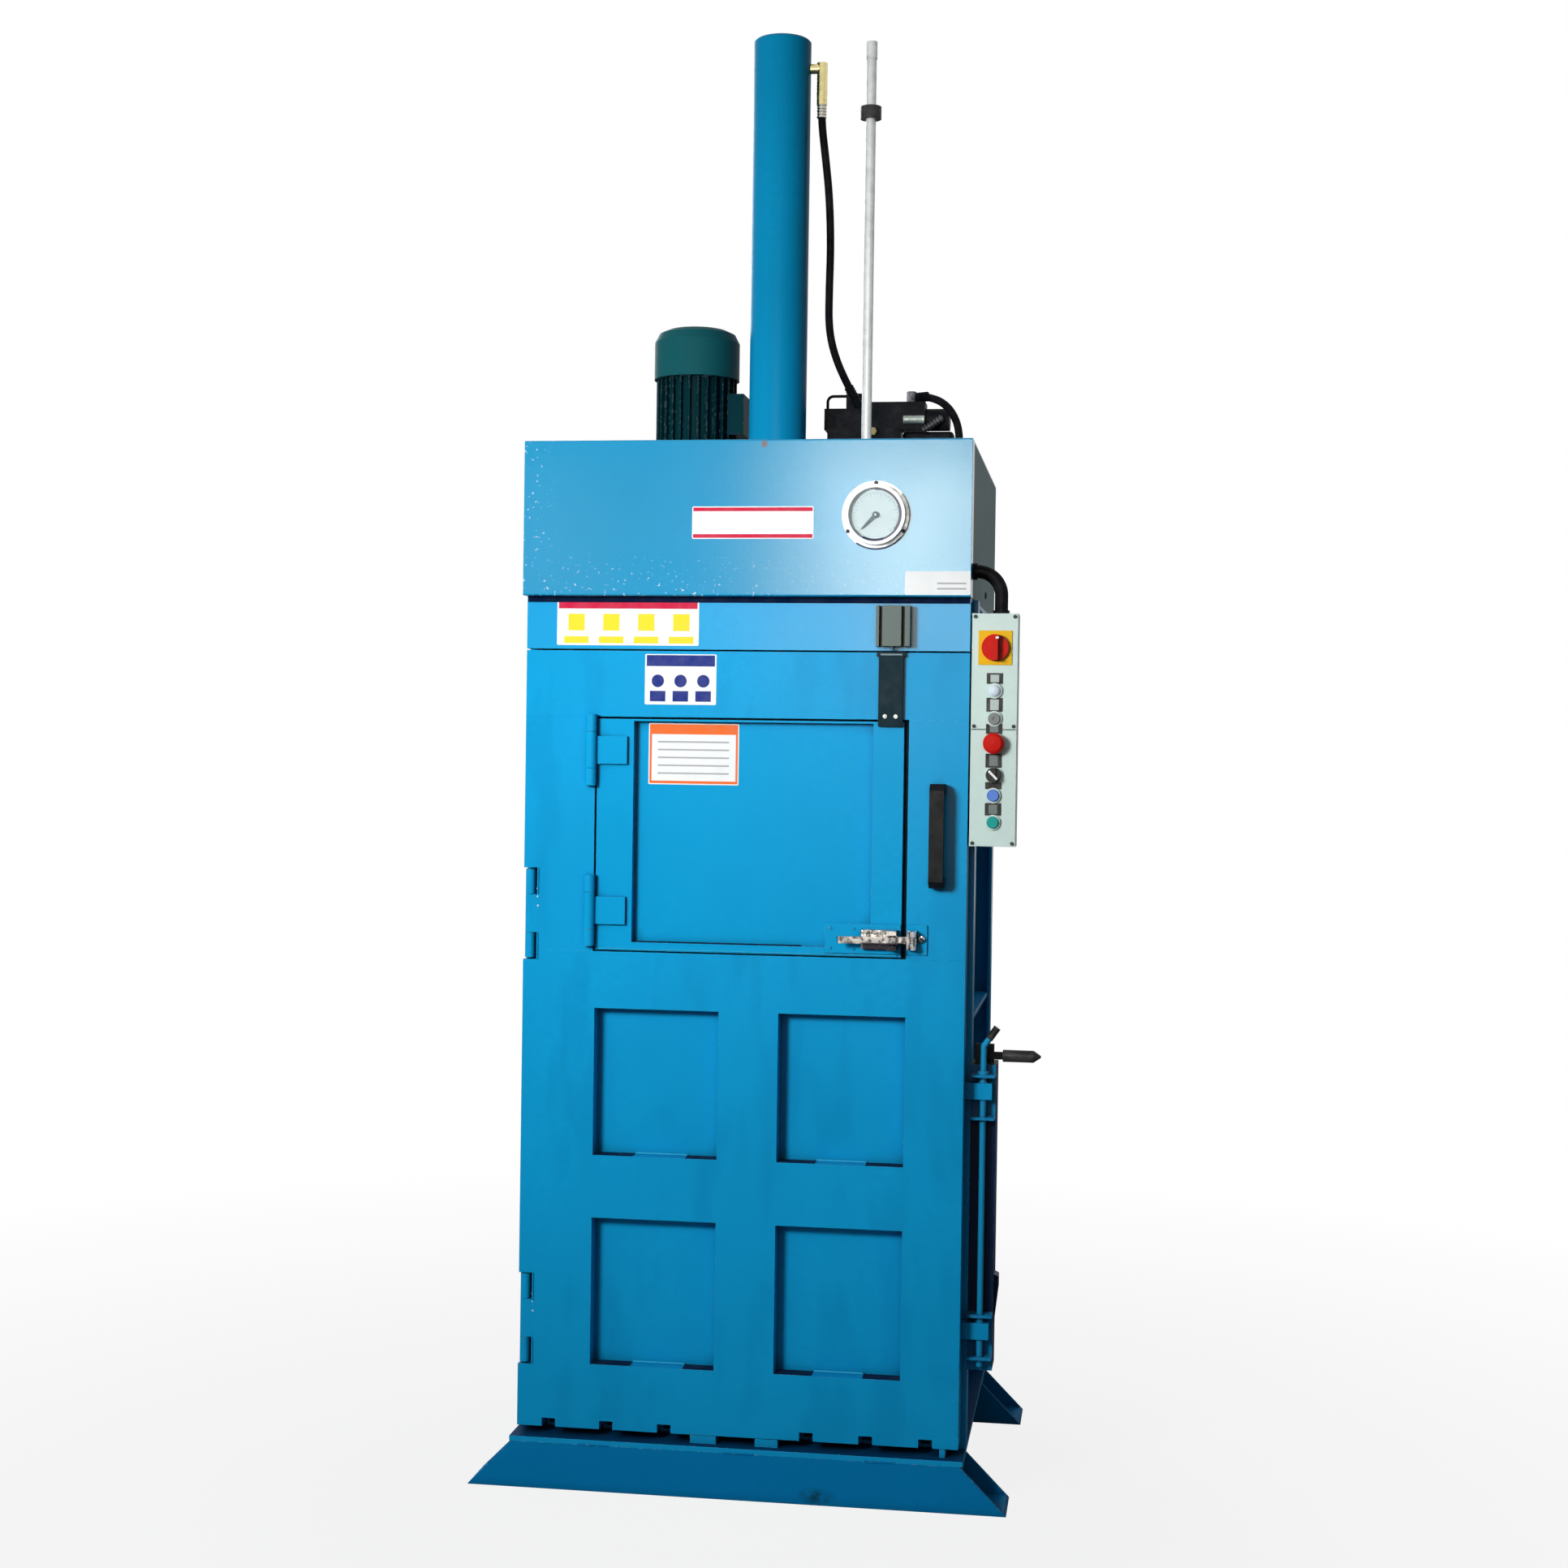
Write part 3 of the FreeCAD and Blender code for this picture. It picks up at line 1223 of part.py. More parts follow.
# Latch: a plate with a guided bolt and a lever that pivots between two ears.
latch_plate_inset = size("latch_plate_inset", 1)
latch_right = leaf_right - latch_plate_inset
latch_plate_length = size("latch_plate_length", 143)
latch_left = latch_right - latch_plate_length
latch_plate_rise = size("latch_plate_rise", 9)
latch_low = rebate_low + latch_plate_rise
latch_plate_height = size("latch_plate_height", 56)
latch_high = latch_low + latch_plate_height
latch_plate = size("latch_plate_thickness", 3)
guide_margin = size("bolt_guide_margin", 10)
bolt_guide_inset = size("bolt_guide_inset", 5)
guide_right = latch_right - bolt_guide_inset
bolt_guide_length = size("bolt_guide_length", 68)
guide_left = guide_right - bolt_guide_length
guide_front = size("bolt_guide_front", 16)
guide_low = latch_low + guide_margin
guide_high = latch_high - guide_margin
latch_bolt_reach = size("latch_bolt_reach", 15)
bolt_right = rebate_right + latch_bolt_reach
latch_bolt_length = size("latch_bolt_length", 70)
bolt_left = bolt_right - latch_bolt_length
latch_bolt_rise = size("latch_bolt_rise", 11)
bolt_low = guide_low + latch_bolt_rise
latch_bolt_height = size("latch_bolt_height", 13)
bolt_high = bolt_low + latch_bolt_height
bolt_front = size("latch_bolt_front", 14)
bolt_back = size("latch_bolt_back", 4)
bolt_travel = size("latch_bolt_travel", 15)
bolt_play = size("latch_bolt_play", 0.1)
bolt_end_room = size("latch_bolt_end_room", 5)
latch_ear_width = size("latch_ear_width", 18)
ear_left = guide_right - latch_ear_width
latch_ear_depth = size("latch_ear_depth", 22)
ear_front = guide_front + latch_ear_depth
ear_thickness = size("latch_ear_thickness", 8)
latch_pivot_inset = size("latch_pivot_inset", 8)
pivot_x = guide_right - latch_pivot_inset
latch_pivot_reach = size("latch_pivot_reach", 12)
pivot_y = -guide_front - latch_pivot_reach
pivot_radius = size("latch_pivot_radius", 4)
latch_lever_length = size("latch_lever_length", 104)
lever_left = pivot_x - latch_lever_length
lever_thickness = size("latch_lever_thickness", 7)
lever_eye = size("latch_lever_eye_radius", 7.5)
lever_tip = size("latch_lever_tip", 22)
lever_curl_in = size("latch_lever_curl_in", 3)
lever_curl_out = size("latch_lever_curl_out", 4)
lever_curl_over = size("latch_lever_curl_over", 2)

latch_solid = fused("latch_base_solid",
                    [block("latch_plate", (latch_left, -latch_plate, latch_low),
                           (latch_right, 0, latch_high)),
                     block("bolt_guide", (guide_left, -guide_front, guide_low),
                           (guide_right, -latch_plate, guide_high)),
                     block("upper_ear", (ear_left, -ear_front, guide_high - ear_thickness),
                           (guide_right, -guide_front, guide_high)),
                     block("lower_ear", (ear_left, -ear_front, guide_low),
                           (guide_right, -guide_front, guide_low + ear_thickness)),
                     bar("latch_pivot", (pivot_x, pivot_y, guide_low), pivot_radius,
                         guide_high - guide_low)])
cut("latch_base", latch_solid,
    [block("bolt_way", (bolt_left - bolt_travel - bolt_end_room, -bolt_front - bolt_play,
                        bolt_low - bolt_play),
           (guide_right, bolt_play - bolt_back, bolt_high + bolt_play))])
block("latch_bolt", (bolt_left, -bolt_front, bolt_low), (bolt_right, -bolt_back, bolt_high))

lever_y = pivot_y - lever_thickness / 2
lever_blade = prism("latch_lever_blade", "XY",
                    [[(pivot_x, lever_y), (pivot_x, lever_y + lever_thickness),
                      (lever_left + lever_tip, lever_y + lever_thickness),
                      (lever_left, lever_y), (lever_left + lever_curl_in, lever_y - lever_curl_out),
                      (lever_left + lever_tip + lever_curl_over, lever_y)]],
                    bolt_low, bolt_high - bolt_low)
cut("latch_lever",
    fused("latch_lever_whole",
          [lever_blade, bar("latch_lever_eye", (pivot_x, pivot_y, bolt_low), lever_eye,
                            bolt_high - bolt_low)]),
    [bar("latch_lever_bore", (pivot_x, pivot_y, bolt_low), pivot_radius + fit_gap,
         bolt_high - bolt_low)])

strike_inset = size("strike_inset", 1)
strike_left = rebate_right + strike_inset
strike_length = size("strike_length", 39)
strike_right = strike_left + strike_length
strike_block_inset = size("strike_block_inset", 2)
strike_block_left = strike_left + strike_block_inset
strike_block_length = size("strike_block_length", 18)
strike_block_right = strike_block_left + strike_block_length
strike_block_proud = size("strike_block_proud", 4)
strike_front = guide_front + strike_block_proud
cut("latch_strike",
    fused("latch_strike_solid",
          [block("strike_plate", (strike_left, -latch_plate, latch_low),
                 (strike_right, 0, latch_high)),
           block("strike_block", (strike_block_left, -strike_front, guide_low),
                 (strike_block_right, -latch_plate, guide_high))]),
    [block("strike_mouth", (strike_block_left, -bolt_front - seat_gap, bolt_low - seat_gap),
           (strike_block_right, seat_gap - bolt_back, bolt_high + seat_gap))])

# The interlock switch stands on the header, in a folded bracket.
switch_rise = size("switch_rise", 8)
switch_low = header_low + switch_rise
switch_drop = size("switch_drop", 16)
switch_high = roof_level - switch_drop
switch_inset_left = size("switch_inset_left", 7)
switch_left = tongue_left + switch_inset_left
switch_inset_right = size("switch_inset_right", 3)
switch_right = tongue_right - switch_inset_right
switch_depth = size("switch_depth", 24)
switch_bracket_left_lap = size("switch_bracket_left_lap", 5)
bracket_left = tongue_left - switch_bracket_left_lap
switch_bracket_right_lap = size("switch_bracket_right_lap", 13)
bracket_right = tongue_right + switch_bracket_right_lap
bracket_wing_left = size("switch_wing_left", 6)
bracket_wing_right = size("switch_wing_right", 10)
bracket_depth = size("switch_bracket_depth", 22)
bracket_sheet = size("switch_bracket_sheet", 2)
switch_pin = size("switch_pin_radius", 3)
switch_pin_gap = size("switch_pin_gap", 1)
switch_pin_low = header_low + switch_pin_gap
fused("interlock_switch",
      [block("switch_back", (bracket_left, -bracket_sheet, switch_low),
             (bracket_right, 0, switch_high)),
       block("switch_left_wing", (bracket_left, -bracket_depth, switch_low),
             (bracket_left + bracket_wing_left, -bracket_sheet, switch_high)),
       block("switch_right_wing", (bracket_right - bracket_wing_right, -bracket_depth,
                                   switch_low), (bracket_right, -bracket_sheet, switch_high)),
       block("switch_body", (switch_left, -switch_depth, switch_low),
             (switch_right, -bracket_sheet, switch_high)),
       bar("switch_pin", ((switch_left + switch_right) / 2, -switch_depth / 2, switch_pin_low),
           switch_pin, switch_low - switch_pin_low)])

# ---------------------------------------------------------------- locking rod

post_left = base_width / 2
post_width = size("post_width", 47)
post_right = post_left + post_width
post_depth = size("post_depth", 80)
post_wall = size("post_wall", 4)
post_rise = size("post_rise", 152)
post_low = base_top + post_rise
post_height = size("post_height", 578)
post_high = post_low + post_height
lock_rod_inset = size("lock_rod_inset", 24)
lock_x = post_left + lock_rod_inset
lock_rod_forward = size("lock_rod_forward", 16.5)
lock_y = body_front - lock_rod_forward
lock_radius = size("lock_rod_radius", 6)
lock_thick = size("lock_rod_locking_radius", 8)
lock_thick_height = size("lock_rod_locking_height", 36)
lock_rod_rise = size("lock_rod_rise", 12)
lock_low = post_low + lock_rod_rise
lock_rod_over = size("lock_rod_over", 39)
lock_bend = post_high + lock_rod_over
lock_hole = size("lock_hole_radius", 8.5)
tab_reach = size("tab_reach", 15)
tab_front = lock_y - tab_reach
tab_thickness = size("tab_thickness", 5)
tab_gap = size("tab_gap", 1)
tab_left = post_left + tab_gap
tab_spacing = size("tab_spacing", 80)
upper_tab_drop = size("upper_tab_drop", 19)
upper_tab = post_high - upper_tab_drop
lower_tab_rise = size("lower_tab_rise", 26)
lower_tab = post_low + lower_tab_rise
tab_levels = (upper_tab, upper_tab - tab_spacing, lower_tab + tab_spacing, lower_tab)
lug_drop = size("lug_drop", 26)
lug_levels = (upper_tab - lug_drop, lower_tab + tab_spacing - lug_drop)
lug_height = size("lug_height", 31)
lug_half = size("lug_half_depth", 11)
lug_reach = size("lug_reach", 17)
lug_right = lock_x + lug_reach
lug_front = lock_y - lug_half
lug_rear = lock_y + lug_half
lug_mouth = size("lug_mouth", 14)

post_tube = prism("post_tube", "XY",
                  [rectangle(post_left, body_front, post_right, body_front + post_depth),
                   rectangle(post_left + post_wall, body_front + post_wall,
                             post_right - post_wall, body_front + post_depth - post_wall)],
                  post_low, post_high - post_low)
tabs = [block("lock_tab", (tab_left, tab_front, z), (post_right, body_front, z + tab_thickness))
        for z in tab_levels]
ejector_plate_setback = size("ejector_plate_setback", 30.5)
lever_plate_y = body_front + ejector_plate_setback
lever_plate_thickness = size("ejector_plate_thickness", 8)
ejector_plate_inset = size("ejector_plate_inset", 5)
lever_plate_left = post_left + ejector_plate_inset
ejector_plate_width = size("ejector_plate_width", 36)
lever_plate_right = lever_plate_left + ejector_plate_width
ejector_plate_height = size("ejector_plate_height", 38)
lever_plate_high = post_high + ejector_plate_height
ejector_pivot_inset = size("ejector_pivot_inset", 20)
ejector_x = post_left + ejector_pivot_inset
ejector_pivot_rise = size("ejector_pivot_rise", 17)
ejector_z = post_high + ejector_pivot_rise
ejector_pin = size("ejector_pin_radius", 5)
ejector_depth = size("ejector_lever_depth", 8)
ejector_lever_gap = size("ejector_lever_gap", 1)
ejector_front = lever_plate_y - ejector_depth - ejector_lever_gap
ejector_eye = size("ejector_eye_radius", 13)
ejector_half = size("ejector_lever_half_height", 7)
ejector_lever_length = size("ejector_lever_length", 38)
grip_left = ejector_x + ejector_lever_length
ejector_grip_length = size("ejector_grip_length", 72)
grip_right = grip_left + ejector_grip_length
grip_radius = size("ejector_grip_radius", 11.5)
grip_point = size("ejector_grip_point", 14)
grip_nose = size("ejector_grip_nose", 2)
# A small hook plate is welded to the outer face of the post.
hook_inset = size("side_hook_inset", 30)
hook_width = size("side_hook_width", 36)
hook_out = size("side_hook_out", 8)
hook_rise = size("side_hook_rise", 80)
hook_height = size("side_hook_height", 97)
hook_lip = size("side_hook_lip", 27)
hook_low = post_low + hook_rise
hook_high = hook_low + hook_height
side_hook = prism("side_hook", "XZ",
                  [[(post_right, hook_low), (post_right + hook_out, hook_high - hook_lip),
                    (post_right + hook_out, hook_high - edge_break), (post_right, hook_high)]],
                  body_front + hook_inset, hook_width)
post_whole = fused("latch_post_solid", [post_tube, side_hook] + tabs + [
    block("post_cap", (post_left, body_front, post_high),
          (post_right, body_front + post_depth, post_high + edge_break / 2)),
    block("ejector_plate", (lever_plate_left, lever_plate_y, post_high),
          (lever_plate_right, lever_plate_y + lever_plate_thickness, lever_plate_high)),
    bar("ejector_pin", (ejector_x, ejector_front - edge_break, ejector_z), ejector_pin,
        lever_plate_y - ejector_front + edge_break, "Y")])
cut("latch_post", post_whole,
    [bar("lock_hole", (lock_x, lock_y, lock_low), lock_hole, lock_bend - lock_low)])

collar = size("lock_collar_radius", 11)
collar_depth = size("lock_collar_height", 6)
lock_hook_reach = size("lock_hook_reach", 25)
hook_x = lock_x + lock_hook_reach
lock_hook_rise = size("lock_hook_rise", 36)
hook_z = lock_bend + lock_hook_rise
grip_share = size("lock_grip_share", 0.4)
lock_grip_radius = size("lock_grip_radius", 7)
rest_on_tab = tab_levels[0] + tab_thickness
hook_start = (lock_x, lock_y, lock_bend)
hook_end = (hook_x, lock_y, hook_z)
grip_start = (lock_x + (hook_x - lock_x) * grip_share, lock_y,
              lock_bend + (hook_z - lock_bend) * grip_share)
bend_ball = doc.addObject("Part::Sphere", "lock_bend_ball")
bind(bend_ball, "Radius", lock_radius)
place(bend_ball, hook_start)
fused("lock_rod",
      [bar("lock_shank", (lock_x, lock_y, lock_low), lock_radius, lock_bend - lock_low),
       bend_ball, slanted_bar("lock_hook", hook_start, hook_end, lock_radius),
       bar("lock_collar", (lock_x, lock_y, rest_on_tab), collar, collar_depth)] +
      [bar("locking_section", (lock_x, lock_y, z - lock_thick_height / 2), lock_thick,
           lock_thick_height) for z in lug_levels])
cut("lock_rod_grip", slanted_bar("grip_outside", grip_start, hook_end, lock_grip_radius),
    [slanted_bar("grip_bore", grip_start, hook_end, lock_radius + fit_gap)])


def lug(label, level):
    """A thick lug on the door's edge; its mouth lets only the thin rod pass."""
    low = level - lug_height / 2
    whole = block(label + "_block", (door_half, lug_front, low),
                  (lug_right, lug_rear, low + lug_height))
    return cut(label, whole,
               [bar(label + "_hole", (lock_x, lock_y, low), lock_hole, lug_height),
                block(label + "_mouth", (lock_x - lug_mouth / 2, lock_y, low),
                      (lock_x + lug_mouth / 2, lug_rear, low + lug_height))])


group("door_lugs", [lug("upper_lug", lug_levels[0]), lug("lower_lug", lug_levels[1])])

# The ejector lever swings up in front of its plate on the post.
cut("ejector_lever",
    fused("ejector_lever_whole",
          [bar("ejector_eye", (ejector_x, ejector_front, ejector_z), ejector_eye, ejector_depth,
               "Y"),
           block("ejector_bar", (ejector_x, ejector_front, ejector_z - ejector_half),
                 (grip_left + grip_radius, ejector_front + ejector_depth,
                  ejector_z + ejector_half))]),
    [bar("ejector_bore", (ejector_x, ejector_front, ejector_z), ejector_pin + fit_gap,
         ejector_depth, "Y")])
grip_whole = turned("lever_grip_solid",
                    [(0, 0), (grip_radius, 0), (grip_radius, grip_right - grip_left - grip_point),
                     (grip_nose, grip_right - grip_left), (0, grip_right - grip_left)],
                    (grip_left, ejector_front + ejector_depth / 2, ejector_z), "X")
cut("lever_grip", grip_whole,
    [block("lever_grip_slot", (grip_left, ejector_front - fit_gap,
                               ejector_z - ejector_half - fit_gap),
           (grip_left + grip_radius, ejector_front + ejector_depth + fit_gap,
            ejector_z + ejector_half + fit_gap))])

# ---------------------------------------------------------------- control box

control_box_gap = size("control_box_gap", 3.5)
box_left = door_half + control_box_gap
control_box_width = size("control_box_width", 85.5)
box_right = box_left + control_box_width
control_box_drop = size("control_box_drop", 29)
box_high = roof_level - control_box_drop
control_box_height = size("control_box_height", 434)
box_low = box_high - control_box_height
box_front = size("control_box_front", 2)
box_wall = size("control_box_wall", 2.5)
cover_thickness = size("control_cover_thickness", 3)
control_seam_drop = size("control_seam_drop", 216)
cover_seam = box_high - control_seam_drop
seam_gap = size("control_seam_gap", 1.5)
operator_inset = size("operator_inset", 43.5)
operator_x = box_left + operator_inset
operator_bore = size("operator_bore_radius", 11.05)
bezel_radius = size("bezel_radius", 14.5)
bezel_height = size("bezel_height", 4)
lamp_drop = size("lamp_drop", 144)
lamp_z = box_high - lamp_drop
key_drop = size("key_drop", 196)
key_z = box_high - key_drop
estop_drop = size("estop_drop", 242)
estop_z = box_high - estop_drop
selector_drop = size("selector_drop", 301)
selector_z = box_high - selector_drop
blue_button_drop = size("blue_button_drop", 339)
blue_z = box_high - blue_button_drop
green_button_drop = size("green_button_drop", 389)
green_z = box_high - green_button_drop
isolator_drop = size("isolator_drop", 64)
isolator_z = box_high - isolator_drop
isolator_shaft = size("isolator_shaft_radius", 6)
cover_face = -box_front - cover_thickness
bezel_face = cover_face - bezel_height

box = prism("control_box", "XZ", [rectangle(box_left, box_low, box_right, box_high)],
            -box_front, body_front + box_front)
add_pocket(box, "XZ", [rectangle(box_left + box_wall, box_low + box_wall,
                                 box_right - box_wall, box_high - box_wall)],
           body_front + box_front - box_wall)


def cover(label, low, high, levels, extra=()):
    """A cover plate with a bezel ring and a bore for each operator."""
    parts = [block(label + "_plate", (box_left, cover_face, low), (box_right, -box_front, high))]
    parts += [bar(label + "_bezel", (operator_x, bezel_face, z), bezel_radius, bezel_height, "Y")
              for z in levels]
    bores = [bar(label + "_bore", (operator_x, bezel_face, z), operator_bore,
                 bezel_height + cover_thickness, "Y") for z in levels]
    bores += [bar(label + "_shaft_hole", (operator_x, cover_face, z), isolator_shaft + fit_gap,
                  cover_thickness, "Y") for z in extra]
    return cut(label, fused(label + "_whole", parts), bores)


group("control_covers",
      [cover("upper_control_cover", cover_seam + seam_gap / 2, box_high, [lamp_z, key_z],
             [isolator_z]),
       cover("lower_control_cover", box_low, cover_seam - seam_gap / 2,
             [estop_z, selector_z, blue_z, green_z])])

screw_radius = size("cover_screw_radius", 3.5)
screw_height = size("cover_screw_height", 2)
screw_inset = size("cover_screw_inset", 6)
group("cover_screws",
      [bar("cover_screw", (x, cover_face - screw_height, z), screw_radius, screw_height, "Y")
       for x in (box_left + screw_inset, box_right - screw_inset)
       for z in (box_high - screw_inset, cover_seam + screw_inset, box_low + screw_inset)])

plate_half_width = size("isolator_plate_half_width", 31)
plate_half_height = size("isolator_plate_half_height", 32)
plate_thickness = size("isolator_plate_thickness", 2)
knob_radius = size("isolator_knob_radius", 25)
knob_thickness = size("isolator_knob_thickness", 8)
knob_bar = size("isolator_knob_bar", 12)
knob_bar_height = size("isolator_knob_bar_height", 14)
isolator_face = cover_face - plate_thickness
cut("isolator_plate",
    block("isolator_sheet", (operator_x - plate_half_width, isolator_face,
                             isolator_z - plate_half_height),
          (operator_x + plate_half_width, cover_face, isolator_z + plate_half_height)),
    [bar("isolator_hole", (operator_x, isolator_face, isolator_z), isolator_shaft + fit_gap,
         plate_thickness, "Y")])
knob_face = isolator_face - seat_gap - knob_thickness
fused("isolator_knob",
      [bar("knob_disc", (operator_x, knob_face, isolator_z), knob_radius, knob_thickness, "Y"),
       block("knob_bar", (operator_x - knob_bar / 2, knob_face - knob_bar_height,
                          isolator_z - knob_radius + edge_break / 2),
             (operator_x + knob_bar / 2, knob_face, isolator_z + knob_radius - edge_break / 2)),
       bar("knob_shaft", (operator_x, knob_face, isolator_z), isolator_shaft,
           -knob_face + edge_break, "Y")])

# Push buttons, mushroom and selector share one stem size and one retaining collar.
stem_radius = operator_bore - fit_gap
collar_gap = size("operator_collar_gap", 0.3)
retainer_radius = size("operator_retainer_radius", 13.5)
retainer_thickness = size("operator_retainer_thickness", 2)
button_front = size("button_proud", 4.5)
mushroom_radius = size("mushroom_radius", 19.5)
mushroom_neck = size("mushroom_neck", 8)
mushroom_height = size("mushroom_height", 14)
selector_radius = size("selector_radius", 14)
selector_height = size("selector_height", 7)
selector_bar = size("selector_bar", 9)
selector_bar_height = size("selector_bar_height", 9)
lamp_dome = size("lamp_dome_height", 8)
lamp_crown_in = size("lamp_crown_in", 4)
lamp_crown_down = size("lamp_crown_down", 1.5)
lamp_shoulder = size("lamp_shoulder", 5)
button_round = size("button_round", 1)
crown_in = size("mushroom_crown_in", 5)
crown_down = size("mushroom_crown_down", 1.5)
crown_shoulder = size("mushroom_shoulder", 6)
key_slot_depth = size("key_slot_depth", 2)
key_slot_radius = size("key_slot_radius", 3)
stem_back = -box_front + collar_gap


def operator(label, front_profile, level):
    """A turned operator: its front, then the stem through the bezel, then its collar."""
    start = bezel_face - front_profile[0]
    reach = stem_back - start
    points = front_profile[1] + [(stem_radius, reach), (retainer_radius, reach),
                                 (retainer_radius, reach + retainer_thickness),
                                 (0, reach + retainer_thickness)]
    return turned(label, points, (operator_x, start, level), "Y")


for label, level in (("blue_button", blue_z), ("green_button", green_z)):
    operator(label, (button_front, [(0, 0), (stem_radius - button_round, 0),
                                    (stem_radius, button_round)]), level)
operator("estop_button",
         (mushroom_neck + mushroom_height,
          [(0, 0), (mushroom_radius - crown_in, crown_down), (mushroom_radius, crown_shoulder),
           (mushroom_radius, mushroom_height), (stem_radius, mushroom_height)]), estop_z)
operator("pilot_lamp", (lamp_dome, [(0, 0), (stem_radius - lamp_crown_in, lamp_crown_down),
                                    (stem_radius, lamp_shoulder)]), lamp_z)
operator("key_switch",
         (button_front, [(0, key_slot_depth), (key_slot_radius, key_slot_depth),
                         (key_slot_radius, 0), (stem_radius - button_round, 0),
                         (stem_radius, button_round)]), key_z)
selector_turn = operator("selector_stem",
                         (selector_height + seat_gap,
                          [(0, 0), (selector_radius - button_round, 0),
                           (selector_radius, button_round),
                           (selector_radius, selector_height),
                           (stem_radius, selector_height)]), selector_z)
selector_face = bezel_face - selector_height - seat_gap
fused("selector_knob",
      [selector_turn,
       block("selector_grip", (operator_x - selector_bar / 2,
                               selector_face - selector_bar_height,
                               selector_z - selector_radius + button_round),
             (operator_x + selector_bar / 2, selector_face,
              selector_z + selector_radius - button_round))])

# The control cable runs in a short conduit from the cover's side to the top of the box.
conduit_radius = size("conduit_radius", 12.5)
conduit_bend = size("conduit_bend", 45)
conduit_inset = size("conduit_inset", 51.5)
conduit_x = box_left + conduit_inset
conduit_back = size("conduit_back", 16)
conduit_y = front_end + conduit_back
conduit_rise = size("conduit_rise", 52)
conduit_z = roof_level + conduit_rise
gland_radius = size("gland_radius", 15.5)
gland_height = size("gland_height", 8)
bend_x = conduit_x - conduit_bend
bend_z = conduit_z - conduit_bend
bend = doc.addObject("Part::Torus", "conduit_bend_part")
bind(bend, "Radius1", conduit_bend)
bind(bend, "Radius2", conduit_radius)
bend.Angle3 = 90
place(bend, (bend_x, conduit_y, bend_z), FreeCAD.Rotation(Vector(1, 0, 0), 90))
fused("cable_conduit",
      [bend,
       bar("conduit_drop", (conduit_x, conduit_y, box_high), conduit_radius,
           bend_z - box_high),
       bar("conduit_exit", (cover_half, conduit_y, conduit_z), conduit_radius,
           bend_x - cover_half, "X"),
       bar("side_gland", (cover_half, conduit_y, conduit_z), gland_radius, gland_height, "X"),
       bar("box_gland", (conduit_x, conduit_y, box_high), gland_radius, gland_height)])

# ---------------------------------------------------------------- checks and export

nodes = """
feet base_plate chamber_floor left_side_wall right_side_wall rear_wall header_panel crown_beam
front_cover side_covers top_deck latch_post body_hinges cylinder_tube port_elbow
pressure_hose valve_manifold solenoid_valve rod_side_hose oil_tank pump motor_housing fan_cowl
gauge_case gauge_lens control_box control_covers cover_screws isolator_plate pilot_lamp
key_switch cable_conduit interlock_switch
main_door feed_stops door_lugs pull_handle feed_hinge_barrels latch_strike
feed_door feed_hinge_straps interlock_tongue latch_base latch_lever latch_bolt
lock_rod lock_rod_grip ram_rod platen indicator_rod rod_collar
motor_rotor gauge_needle isolator_knob estop_button selector_knob blue_button green_button
ejector_lever lever_grip
""".split()

doc.recompute()
for thing in doc.Objects:
    if "Invalid" in thing.State or "Error" in thing.State:
        raise RuntimeError("%s: %s" % (thing.Label, thing.State))
    if thing.isDerivedFrom("PartDesign::Pocket") and thing.BaseFeature is not None:
        if thing.BaseFeature.Shape.Volume - thing.Shape.Volume < 1e-3:
            raise RuntimeError("%s removed nothing" % thing.Label)

os.makedirs("parts", exist_ok=True)
for node in nodes:
    found = doc.getObjectsByLabel(node)
    if len(found) != 1:
        raise RuntimeError("%s: %d objects" % (node, len(found)))
    shape = found[0].Shape
    if shape.isNull() or not shape.isValid():
        raise RuntimeError("%s has a bad shape" % node)
    shape.exportStep("parts/%s.step" % node)
print(len(nodes), "nodes written")
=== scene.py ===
import math
import random

import bmesh
import bpy
from mathutils import Matrix, Vector


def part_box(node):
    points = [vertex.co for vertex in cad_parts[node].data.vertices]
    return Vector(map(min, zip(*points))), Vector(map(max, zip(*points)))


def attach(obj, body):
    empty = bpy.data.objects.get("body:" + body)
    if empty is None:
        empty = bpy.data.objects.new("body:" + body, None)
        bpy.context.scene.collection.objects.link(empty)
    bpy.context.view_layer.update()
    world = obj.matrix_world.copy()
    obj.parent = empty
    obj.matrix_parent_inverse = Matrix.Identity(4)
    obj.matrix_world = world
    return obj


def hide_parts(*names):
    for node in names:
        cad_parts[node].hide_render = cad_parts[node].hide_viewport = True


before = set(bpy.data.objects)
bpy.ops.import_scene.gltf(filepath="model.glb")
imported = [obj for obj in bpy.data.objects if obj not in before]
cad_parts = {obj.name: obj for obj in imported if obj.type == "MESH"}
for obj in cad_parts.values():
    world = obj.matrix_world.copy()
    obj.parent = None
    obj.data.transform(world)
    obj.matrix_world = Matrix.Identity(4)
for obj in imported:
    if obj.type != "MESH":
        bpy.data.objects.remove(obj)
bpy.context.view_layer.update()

MM = 0.001

# ------------------------------------------------------------ camera, floor and studio lamps
# The view was fitted to the photograph: right of the machine's middle, at chest height, looking
# slightly left. The floor and backdrop are white studio paper, and soft boxes light the machine
# from the front, the left and behind.

